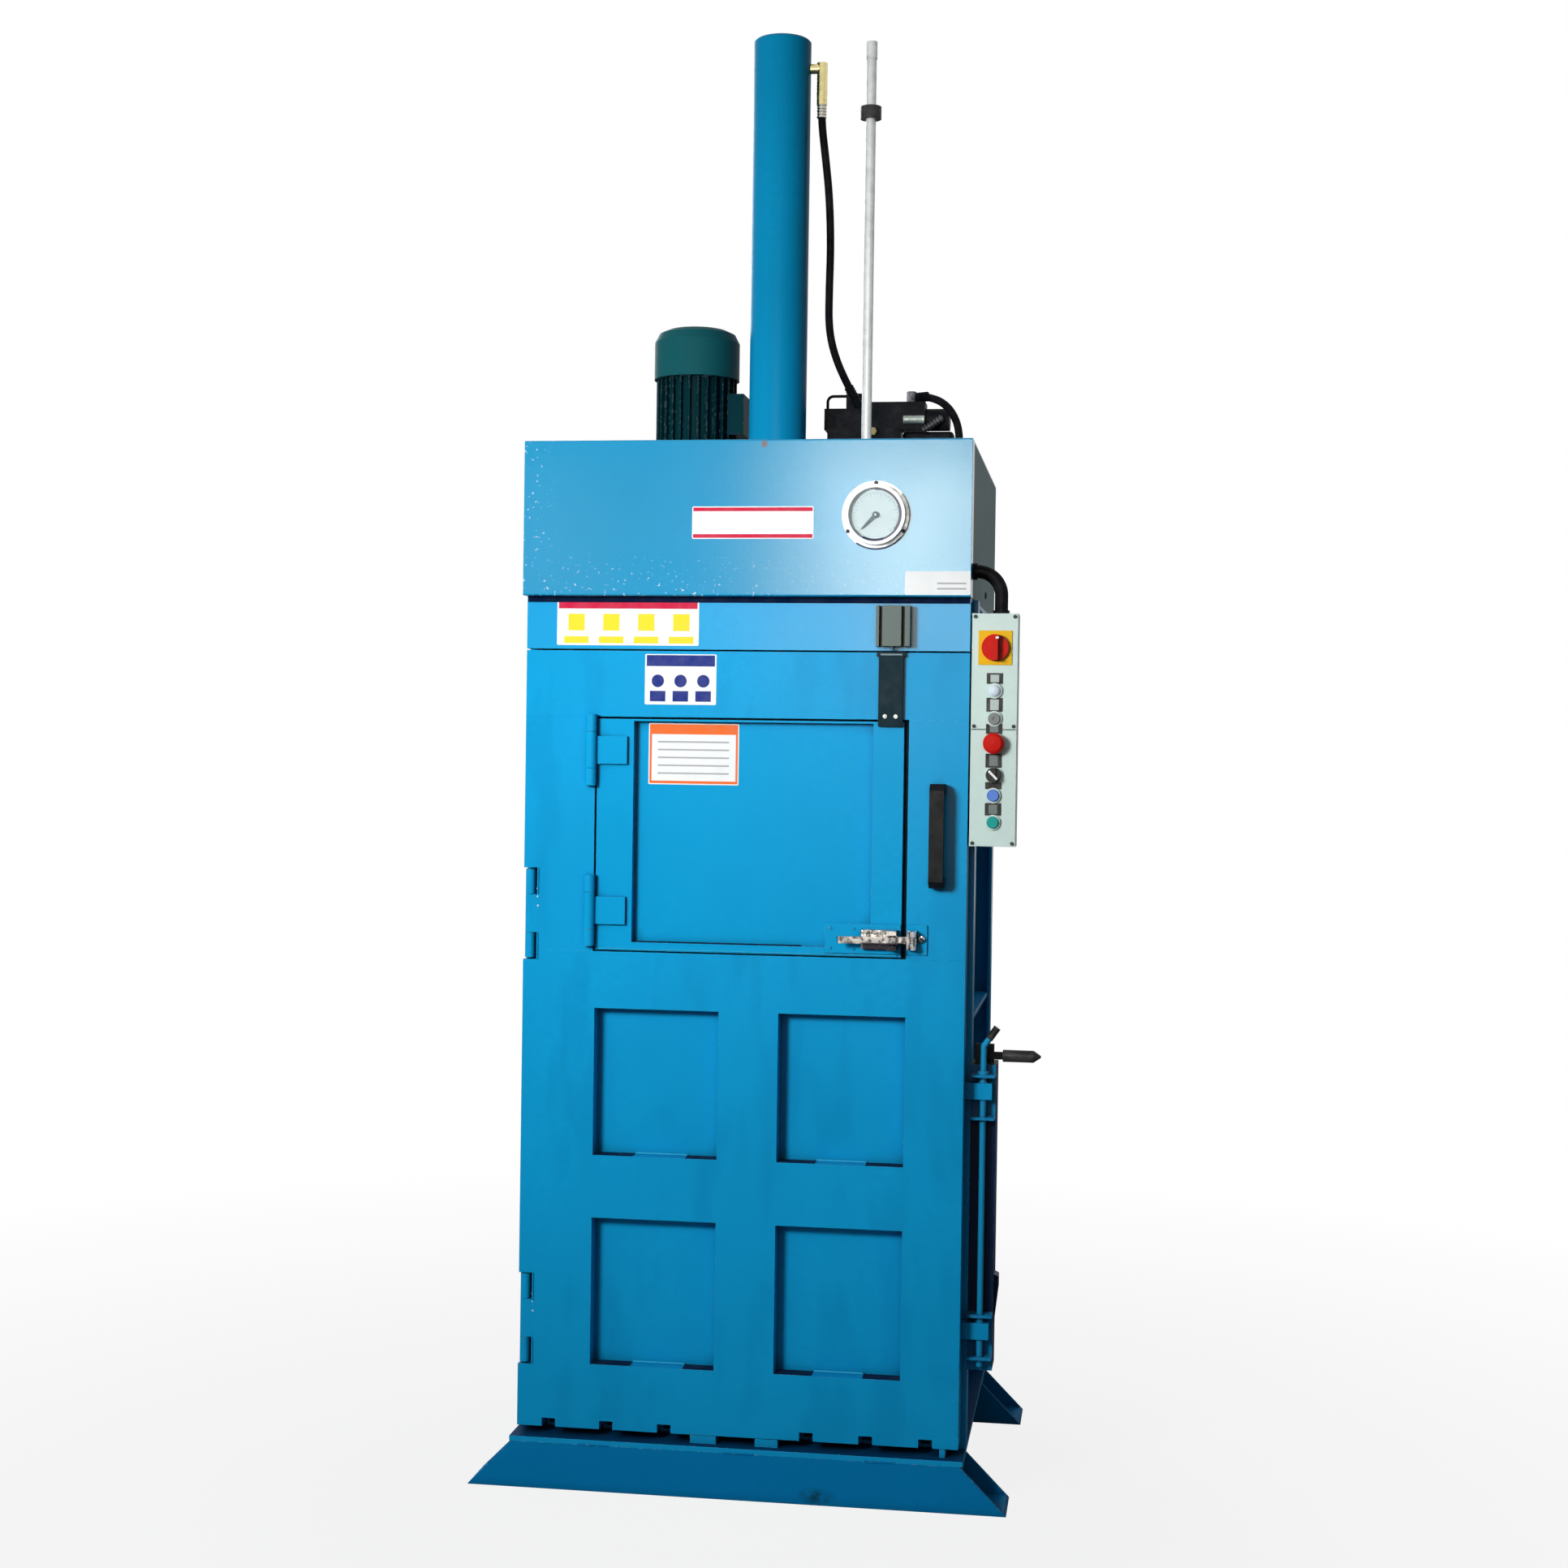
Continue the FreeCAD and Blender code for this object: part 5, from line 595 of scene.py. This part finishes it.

# ------------------------------------------------------------ pressure gauge
# A liquid-filled gauge in a pressed bright steel case, held to the hood by three screws through
# its flange. Its dial is pale tin with a plain grey scale, behind a clear window. Dark arcs on the
# rim and flange are painted shade, which gives them their darker side.

bright_steel = plated("bright_steel", (0.80, 0.81, 0.83), 0.42, 0.12, metal=0.06)
gauge_dark = moulded("gauge_dark", (0.05, 0.06, 0.07), 0.4, 0.001, 0.05, 0.03)
dress(bright_steel, "gauge_case")
window_glass, tree, shader, place = new_material("window_glass")
shader.inputs["Specular IOR Level"].default_value = 0.02
shader.inputs["Base Color"].default_value = (0.80, 0.90, 0.92, 1)
shader.inputs["Alpha"].default_value = 0.06
tree.links.new(ranged(tree, mottle(tree, place, 0.01), 0.3, 0.8, 0.10, 0.16),
               shader.inputs["Roughness"])
dress(window_glass, "gauge_lens")
dress(moulded("needle_grey", (0.08, 0.13, 0.15), 0.5, specular=0.02), "gauge_needle")


def ink(name, colour, roughness=0.4):
    """Printed or painted tin: an even colour that has faded in patches."""
    made, tree, shader, place = new_material(name)
    shader.inputs["Specular IOR Level"].default_value = 0.03
    faded = tuple(c * 0.9 + 0.04 for c in colour)
    share = ranged(tree, mottle(tree, place, 0.025, 4), 0.35, 0.75, 0, 1)
    tree.links.new(tinted(tree, share, colour, faded), shader.inputs["Base Color"])
    tree.links.new(ranged(tree, mottle(tree, place, 0.01), 0.3, 0.8, roughness - 0.1,
                          roughness + 0.1), shader.inputs["Roughness"])
    relief(tree, shader, mottle(tree, place, 0.003), 0.0001, 0.3)
    return made


GAUGE_X, GAUGE_Z = 248, 1860
DIAL_DEPTH, FLANGE_DEPTH, PATCH_LIFT = 12, 15, 0.1
DIAL_RADIUS, RIM_RADIUS, FLANGE_RADIUS, SCREW_CIRCLE = 49.5, 49.8, 64.2, 60
FIRST_STROKE, STROKE_STEP, STROKES = -135, 10, 28
gauge_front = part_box("gauge_case")[0].y / MM
dial_face = gauge_front + DIAL_DEPTH - 0.3


def flat_field(shape, outline, y, slot):
    """One flat patch of colour, from (x, z) corners in millimetres, facing the front."""
    corners = [shape.verts.new((x * MM, y * MM, z * MM)) for x, z in outline]
    face = shape.faces.new(corners)
    face.normal_update()
    if face.normal.y > 0:
        face.normal_flip()
    face.material_index = slot


def disc_outline(x, z, radius, steps=40):
    """The (x, z) corners of a disc."""
    return [(x + radius * math.cos(2 * math.pi * k / steps),
             z + radius * math.sin(2 * math.pi * k / steps)) for k in range(steps)]


def tick_outline(angle, inner, outer, half_width):
    """One stroke of the scale, at an angle from the top, clockwise."""
    out = Vector((math.sin(angle), math.cos(angle)))
    side = Vector((out.y, -out.x)) * half_width
    centre = Vector((GAUGE_X, GAUGE_Z))
    return [tuple(centre + out * inner - side), tuple(centre + out * inner + side),
            tuple(centre + out * outer + side), tuple(centre + out * outer - side)]


def arc_band(first, last, inner, outer):
    """Part of a ring round the dial, between two angles in degrees from the top, clockwise."""
    outline = []
    for radius, sweep in ((inner, range(13)), (outer, range(12, -1, -1))):
        for step in sweep:
            angle = math.radians(first + (last - first) * step / 12)
            outline.append((GAUGE_X + radius * math.sin(angle), GAUGE_Z + radius * math.cos(angle)))
    return outline


TIN, SHADE, MAUVE, GREY = range(4)
shape = bmesh.new()
flat_field(shape, disc_outline(GAUGE_X, GAUGE_Z, DIAL_RADIUS), dial_face, TIN)
for k in range(STROKES):
    angle = math.radians(FIRST_STROKE + STROKE_STEP * k)
    flat_field(shape, tick_outline(angle, 35 if k % 3 == 0 else 38, 41, 0.5),
               dial_face - PATCH_LIFT, GREY)
flat_field(shape, arc_band(-140, 140, 42.0, 42.6), dial_face - PATCH_LIFT, GREY)
# Painted shade: dark arcs on the window's rim, and below on the flange, stand for the shade of the
# bezel and flange.
for first, last, inner, colour in ((-10, 20, 46.5, MAUVE), (20, 70, 45.6, MAUVE),
                                   (70, 128, 44.6, MAUVE), (128, 160, 46.0, MAUVE),
                                   (160, 208, 45.4, SHADE), (208, 236, 47.8, MAUVE)):
    flat_field(shape, arc_band(first, last, inner, RIM_RADIUS), gauge_front - PATCH_LIFT, colour)
for first, last, inner, colour in ((50, 130, 62.4, MAUVE), (130, 215, 61.6, SHADE)):
    flat_field(shape, arc_band(first, last, inner, FLANGE_RADIUS),
               gauge_front + FLANGE_DEPTH - PATCH_LIFT, colour)
piece("gauge_dial", mesh_from(shape, "gauge_dial"), "body", "dial",
      ink("dial_tin", (0.66, 0.78, 0.79)), ink("dial_shade", (0.03, 0.04, 0.09)),
      ink("dial_mauve", (0.17, 0.17, 0.21)), ink("dial_grey", (0.36, 0.47, 0.49)))


def domed_head(name, place, radius, proud, body, slot, material, way=(0, -1, 0)):
    """A domed screw or rivet head on a face, with a dimple in its middle."""
    dome = [(radius, 0), (radius, proud * 0.45), (radius * 0.8, proud * 0.85),
            (radius * 0.35, proud), (radius * 0.3, proud * 0.7), (0.2, proud * 0.7)]
    return turned_piece(name, dome, place, way, body, slot, material, steps=20)


for k in range(3):
    angle = math.radians(120 * k)
    domed_head("gauge_screw_%d" % k, (GAUGE_X + SCREW_CIRCLE * math.sin(angle),
                                      gauge_front + FLANGE_DEPTH,
                                      GAUGE_Z + SCREW_CIRCLE * math.cos(angle)),
               3.8, 1.0, "body", "bare_steel", gauge_dark)

# ------------------------------------------------------------ main door
# The tall steel door is welded from a pressed lower panel, two stiles and a top rail, with a
# flat-bar stop ring in the feed opening. Pale spots at its two barrel hinges are painted glints on
# the welds, and weld beads in a lighter blue, a painted highlight, and dark gaps lie under its four
# recesses. Its grab handle is blacked.

door_blue = sprayed_steel("door_blue", SKY_BLUE, 0.36, 0.07, 0.3, 0.8)
tree, place = opened(door_blue)
drawn_out = vector_result(tree, "MULTIPLY", place, (1, 1, 0.3))
runs = ranged(tree, mottle(tree, drawn_out, 0.09, 2), 0.50, 0.62, 0, 0.22)
paint_over(door_blue, runs, (0.001, 0.20, 0.44))
dress(door_blue, "main_door", "feed_stops", "door_lugs", "body_hinges", "feed_hinge_barrels")
blacked_steel = moulded("blacked_steel", (0.004, 0.005, 0.007), 0.45, 0.001, 0.02, 0.1)
dress(blacked_steel, "pull_handle")
HINGE_X, STRAP_LENGTH, LUG_X = -397, 52, 424.5
for k, low in enumerate((1012, 1137, 232, 357)):
    weld_bead("hinge_weld_%d" % k, (HINGE_X, -0.6, low), (HINGE_X, -0.6, low + STRAP_LENGTH), 2.0,
              "main_door", door_blue)
for k, lug_seam in enumerate((795, 342)):
    weld_bead("lug_weld_%d" % k, (LUG_X, 30, lug_seam), (LUG_X, 58, lug_seam), 2.2, "main_door",
              door_blue)
# Painted highlight: pale spots at the hinges stand for glints on the welds.
chips_and_glints = bmesh.new()
for hinge_z in (1100.5, 320.5):
    for shift, rise, radius in ((-1.5, 48, 1.8), (-1, 33, 1.6), (0, 15, 2.0)):
        flat_field(chips_and_glints, disc_outline(HINGE_X + shift, hinge_z + rise, radius, 7), -PATCH_LIFT, 0)
piece("hinge_glints", mesh_from(chips_and_glints, "hinge_glints"), "main_door", "blue_paint",
      ink("hinge_glint_pale", (0.55, 0.70, 0.74)))

gap_dark = moulded("gap_dark", (0.001, 0.014, 0.05), 0.7, 0.002, 0.03, 0.05)
# Painted highlight: weld beads take a lighter blue than the door's paint.
bead_highlight_blue = sprayed_steel("bead_highlight_blue", (0.02, 0.42, 0.72), 0.4, 0.1, 0.3, 0.2)
RECESS_BACK, GAP_HEIGHT, BEAD_Y = 34.8, 0.8, 32.5
for row, z in (("upper", 640), ("lower", 238)):
    for side, left, right, first, last in (("left", -283, -42, 0.32, 0.745),
                                           ("right", 73, 314, 0.30, 0.70)):
        wide = right - left
        bead_start, bead_end = left + first * wide, left + last * wide
        for part, x0, x1 in (("start", left + 1, bead_start), ("end", bead_end, right - 1)):
            rounded_block("recess_gap_%s_%s_%s" % (row, side, part), (x0, 2, z),
                          (x1, RECESS_BACK, z + GAP_HEIGHT), 0.2, "main_door", "blue_paint",
                          gap_dark)
        weld_bead("recess_weld_%s_%s" % (row, side), (bead_start, BEAD_Y, z + 1.5),
                  (bead_end, BEAD_Y, z + 1.5), 2.6, "main_door", bead_highlight_blue)

# ------------------------------------------------------------ feed door
# A pressed steel leaf with a shallow pan and a welded lower lip hangs on two long barrels with
# straps. It carries the black tongue, screwed on and with a bare clip at its top, that works the
# grey interlock switch on the header.

TONGUE_FRONT = -8.3
feed_blue = sprayed_steel("feed_blue", (0.003, 0.335, 0.66), 0.38, 0.05, 0.3, 0.85)
dress(feed_blue, "feed_door", "feed_hinge_straps")
tongue_black = moulded("tongue_black", (0.006, 0.022, 0.032), 0.5, 0.002, 0.02, 0.04)
pale_zinc = plated("pale_zinc", (0.50, 0.54, 0.54), 0.45, 0.3, metal=0.3)
dress(tongue_black, "interlock_tongue")
dress_where(pale_zinc, "interlock_tongue", lambda middle: middle.y < TONGUE_FRONT - 0.1)
rounded_block("tongue_clip", (258, TONGUE_FRONT - 0.6, 1600.5), (299, TONGUE_FRONT, 1603.5), 0.2,
              "feed_door", "bare_steel",
              moulded("clip_grey", (0.22, 0.30, 0.33), 0.5, specular=0.03))
rounded_block("pan_gap", (-212, 1, 1050), (112, 19.8, 1051.5), 0.3, "feed_door", "blue_paint",
              gap_dark)
# The lip's bead is in the lighter blue too, a painted highlight along the leaf's lower edge.
weld_bead("leaf_lip", (-280, -0.3, 1037), (296, -0.3, 1037), 1.6, "feed_door", bead_highlight_blue)
switch_grey = sprayed_steel("switch_grey", (0.12, 0.16, 0.15), 0.5, 0.2, 0.3, 0.95)
dress(switch_grey, "interlock_switch")

# ------------------------------------------------------------ latch
# A worn chromed latch: a guided bolt, a bent lever between two ears, and a strike on the main
# door. The base and strike plates are painted over like the door. The chrome is darkened in its
# creases and on the lower half of the bolt and lever as painted shade, and small pits mark it.

LATCH_MIDDLE, LATCH_PLATE, SCREW_OFFSET, ROLLER_LENGTH = 1068, -3, 19, 38
LOWER_SHADE_TOP, LOWER_SHADE_LEFT, LOWER_SHADE_RIGHT = (1.0645, 1.0620), (0.226, 0.234), (0.308, 0.312)
latch_chrome = plated("latch_chrome", (0.80, 0.76, 0.74), 0.22, 0.3)
tree, place = opened(latch_chrome)
# Painted shade: the chrome darkens in its creases and on the lower half of the bolt and lever; the
# pits are wear.
pits = ranged(tree, mottle(tree, place, 0.011, 3), 0.50, 0.60, 0, 1)
crease = add_node(tree, "AmbientOcclusion", Distance=0.012)
crease.samples = 6
shade_and_pits = result(tree, "MAXIMUM", ranged(tree, crease.outputs["AO"], 0.35, 0.8, 1, 0),
              result(tree, "MULTIPLY", pits, 0.75))
across = add_node(tree, "SeparateXYZ", Vector=place)
latch_lower_shade = result(tree, "MULTIPLY", ranged(tree, across.outputs["Z"], *LOWER_SHADE_TOP, 0, 0.96),
                 ranged(tree, across.outputs["X"], *LOWER_SHADE_LEFT, 0, 1))
latch_lower_shade = result(tree, "MULTIPLY", latch_lower_shade,
                 ranged(tree, across.outputs["X"], *LOWER_SHADE_RIGHT, 1, 0))
paint_over(latch_chrome, result(tree, "MAXIMUM", shade_and_pits, latch_lower_shade), (0.02, 0.018, 0.03))
dress(feed_blue, "latch_base", "latch_strike")
for name in ("latch_base", "latch_strike"):
    dress_where(latch_chrome, name, lambda middle: middle.y < LATCH_PLATE - 0.2)
dress(latch_chrome, "latch_lever", "latch_bolt")
for k, (x, rise) in enumerate(((170, -SCREW_OFFSET), (170, SCREW_OFFSET), (214, -SCREW_OFFSET),
                               (214, SCREW_OFFSET))):
    domed_head("latch_screw_%d" % k, (x, LATCH_PLATE, LATCH_MIDDLE + rise), 3.4, 1.8, "feed_door",
               "blue_paint", feed_blue)
roller = [(3, 0), (7, 2), (7, 12), (5, 14), (5, 24), (7, 26), (7, ROLLER_LENGTH - 2),
          (3, ROLLER_LENGTH)]
turned_piece("strike_roller", roller, (327, -22.5, LATCH_MIDDLE - ROLLER_LENGTH / 2), (0, 0, 1),
             "main_door", "bare_steel", latch_chrome)
BOSS_X, BOSS_Z = 343, 1070
domed_head("strike_boss", (BOSS_X, LATCH_PLATE, BOSS_Z), 7.5, 7, "main_door", "bare_steel",
           latch_chrome)
domed_head("strike_rivet", (BOSS_X, LATCH_PLATE - 6.5, BOSS_Z), 3, 2, "main_door", "bare_steel",
           gauge_dark)
GUIDE_FRONT, GUIDE_RIVET_Z = -16, 1082
for k, x in enumerate((232, 248, 264)):
    domed_head("guide_rivet_%d" % k, (x, GUIDE_FRONT, GUIDE_RIVET_Z), 3.6, 3, "feed_door",
               "bare_steel", latch_chrome)

# ------------------------------------------------------------ locking rod and ejector lever
# A square steel post, welded to the jamb, carries tabs that guide a bent, painted locking rod. A
# greenish plate above them holds the blacked ejector lever with its rubber grip. The post's side,
# with a small welded hook, and its stretch between the tabs take a painted shade of dark navy.

POST_FRONT, PLATE_FOOT = 62.6, 828.5
DARK_FROM, DARK_TO = 420, 700
post_blue = sprayed_steel("post_blue", (0.003, 0.235, 0.50), 0.4, 0.12, 0.4, 0.8)
post_shade = sprayed_steel("post_shade", (0.003, 0.016, 0.055), 0.45, 0.08, 0.3, 0.6)
plate_green = sprayed_steel("plate_green", (0.012, 0.035, 0.030), 0.5, 0.1, 0.3, 0.6)
dress(post_blue, "latch_post")
# Painted shade: the post's side and its stretch between the tabs are dark navy.
dress_where(post_shade, "latch_post",
            lambda middle: middle.y > POST_FRONT or DARK_FROM < middle.z < DARK_TO)
dress_where(plate_green, "latch_post", lambda middle: middle.z > PLATE_FOOT)
rod_blue = sprayed_steel("rod_blue", (0.006, 0.30, 0.58), 0.34, 0.3, 0.4, 0.6)
dress(rod_blue, "lock_rod")
dress(black_nylon, "lock_rod_grip", "lever_grip")
dress(blacked_steel, "ejector_lever")

# ------------------------------------------------------------ control box
# A sheet-steel box in pale enamel, with two screwed cover plates. It carries an isolator on a
# yellow plate, and below it a lamp, a key switch, a stop button, a selector and two push buttons.
# These are moulded plastic, each under a small black legend plate with a blank insert.

box_cream = sprayed_steel("box_cream", (0.60, 0.75, 0.71), 0.42, 0.15, 0.15, 0.35)
dress(box_cream, "control_box", "control_covers")
dress(gauge_dark, "cover_screws")
dress(moulded("isolator_yellow", (0.82, 0.47, 0.01), 0.4, 0.001, 0.02, 0.03), "isolator_plate")
signal_red = moulded("signal_red", (0.56, 0.012, 0.008), 0.4, 0.001, 0.01, 0.03)
dress(signal_red, "isolator_knob", "estop_button")
dress(black_nylon, "selector_knob")
dress(moulded("button_blue", (0.04, 0.16, 0.60), 0.3, 0.001, 0.04, 0.3), "blue_button")
dress(moulded("button_green", (0.01, 0.34, 0.30), 0.3, 0.001, 0.02, 0.05), "green_button")
dress(moulded("lamp_white", (0.66, 0.76, 0.86), 0.25, 0.001, 0.04), "pilot_lamp")
dress(moulded("key_grey", (0.22, 0.24, 0.23), 0.4, 0.001, 0.05, 0.05), "key_switch")
legend_black = moulded("legend_black", (0.012, 0.012, 0.013), 0.5, 0.001, 0.1)
legend_grey = moulded("legend_grey", (0.16, 0.19, 0.19), 0.5, 0.001, 0.1)
legend_pale = moulded("legend_pale", (0.46, 0.54, 0.52), 0.5, 0.001, 0.1)
OPERATOR_X, COVER_FACE = 472, -5
LEGEND_HALF, INSERT_HALF, INSERT_MARGIN = 15, 8, 3
for name, low, high, insert in (("lamp", 1549, 1569, legend_pale), ("key", 1497, 1523, legend_pale),
                                ("stop", 1456, 1474, legend_grey), ("mode", 1393, 1419, legend_grey),
                                ("blue", 1353, 1366, legend_black),
                                ("green", 1304, 1327, legend_grey)):
    rounded_block("legend_%s" % name, (OPERATOR_X - LEGEND_HALF, COVER_FACE - 1.4, low),
                  (OPERATOR_X + LEGEND_HALF, COVER_FACE, high), 0.4, "body", "black_plastic",
                  legend_black)
    rounded_block("legend_insert_%s" % name,
                  (OPERATOR_X - INSERT_HALF, COVER_FACE - 1.8, low + INSERT_MARGIN),
                  (OPERATOR_X + INSERT_HALF, COVER_FACE - 1.2, high - INSERT_MARGIN), 0.2, "body",
                  "black_plastic", insert)

white_tin = ink("white_tin", (0.84, 0.86, 0.86))
knob_low, knob_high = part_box("isolator_knob")
knob_front, knob_top = knob_low.y / MM, knob_high.z / MM
rounded_block("isolator_mark", (OPERATOR_X + 2, knob_front - 0.4, knob_top - 9),
              (OPERATOR_X + 8, knob_front, knob_top - 5), 0.15, "isolator_knob", "black_plastic",
              white_tin)
turn_low, turn_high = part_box("selector_knob")
turn_z = (turn_low.z + turn_high.z) / 2 / MM
mark = bevelled_sheet("selector_mark", (-2.2, turn_low.y / MM - 0.5, -11),
                      (2.2, turn_low.y / MM, 11), 0.15)
mark.transform(Matrix.Translation((OPERATOR_X * MM, 0, turn_z * MM)) @
               Matrix.Rotation(math.radians(-45), 4, "Y"))
piece("selector_mark", mark, "selector_knob", "black_plastic", white_tin)

# ------------------------------------------------------------ conduit
# A smooth black plastic conduit, with a gland at each end, brings the control cable from the
# cover's side to the top of the box. A dark screw is driven into the cover's side behind it.

dress(moulded("conduit_black", (0.003, 0.003, 0.005), 0.5, 0.002, 0.02, 0.04), "cable_conduit")
domed_head("side_screw", (426.5, 409, 1743), 7, 3, "body", "bare_steel", gauge_dark, (1, 0, 0))

# ------------------------------------------------------------ plain plates
# Thin enamelled tin plates are stuck on where such machines carry theirs. They show only plain
# bars, discs and squares in flat colours.

field_red = ink("field_red", (0.60, 0.015, 0.06))
field_yellow = ink("field_yellow", (0.82, 0.70, 0.03))
field_orange = ink("field_orange", (0.85, 0.16, 0.03))
field_navy = ink("field_navy", (0.02, 0.035, 0.22))
field_grey = ink("field_grey", (0.42, 0.42, 0.44))


def bar_outline(x0, z0, x1, z1):
    """The (x, z) corners of a bar."""
    return [(x0, z0), (x1, z0), (x1, z1), (x0, z1)]


def colour_plate(name, corners, face, body, fields, inks):
    """A thin rounded plate on a face, with flat fields of colour on it."""
    x0, z0, x1, z1 = corners
    shape = bmesh.new()
    radius, thick, ink_lift = 2.5, 0.6, 0.08
    outline = []
    for cx, cz, start in ((x1 - radius, z1 - radius, 0), (x0 + radius, z1 - radius, 90),
                          (x0 + radius, z0 + radius, 180), (x1 - radius, z0 + radius, 270)):
        for step in range(5):
            angle = math.radians(start + step * 22.5)
            outline.append((cx + radius * math.cos(angle), cz + radius * math.sin(angle)))
    flat_field(shape, outline, face - thick, 0)
    front = list(shape.verts)
    back = [shape.verts.new((v.co.x, face * MM, v.co.z)) for v in front]
    for i, vertex in enumerate(front):
        after = (i + 1) % len(front)
        shape.faces.new((vertex, front[after], back[after], back[i]))
    for slot, patch in fields:
        flat_field(shape, patch, face - thick - ink_lift, slot)
    bmesh.ops.recalc_face_normals(shape, faces=[f for f in shape.faces if f.material_index == 0])
    return piece(name, mesh_from(shape, name), body, "dial", white_tin, *inks)


HOOD_FRONT, BODY_FRONT, PAN_FRONT = -30, 0, 20
colour_plate("cover_plate", (-100, 1816, 131, 1877), HOOD_FRONT, "body",
             [(1, bar_outline(-98, 1868, 129, 1875)), (1, bar_outline(-98, 1818, 129, 1825))],
             [field_red])
colour_plate("corner_plate", (304, 1712, 426, 1756), HOOD_FRONT, "body",
             [(1, bar_outline(364, 1722, 418, 1725)), (1, bar_outline(364, 1732, 418, 1735))],
             [field_grey])
strip = [(1, bar_outline(-363, 1686, -93, 1699))]
for k in range(4):
    left = -352 + k * 68
    strip.append((2, bar_outline(left, 1620, left + 48, 1633)))
    strip.append((2, bar_outline(left + 8, 1644, left + 40, 1676)))
colour_plate("header_strip", (-366, 1616, -90, 1701), BODY_FRONT, "body", strip,
             [field_red, field_yellow])
notice = [(1, bar_outline(-190, 1577, -58, 1598))]
for k in range(3):
    middle = -168 + k * 44
    notice.append((1, disc_outline(middle, 1549, 12)))
    notice.append((1, bar_outline(middle - 15, 1510, middle + 15, 1530)))
colour_plate("door_plate", (-193, 1504, -55, 1600), BODY_FRONT, "main_door", notice, [field_navy])
lines = [(1, bar_outline(-186, 1448, -15, 1467)), (1, bar_outline(-186, 1354, -15, 1359)),
         (1, bar_outline(-186, 1359, -182, 1448)), (1, bar_outline(-19, 1359, -15, 1448))]
for k in range(5):
    lines.append((2, bar_outline(-170, 1372 + k * 15, -32, 1375 + k * 15)))
colour_plate("feed_plate", (-188, 1352, -13, 1469), PAN_FRONT, "feed_door", lines,
             [field_orange, field_grey])
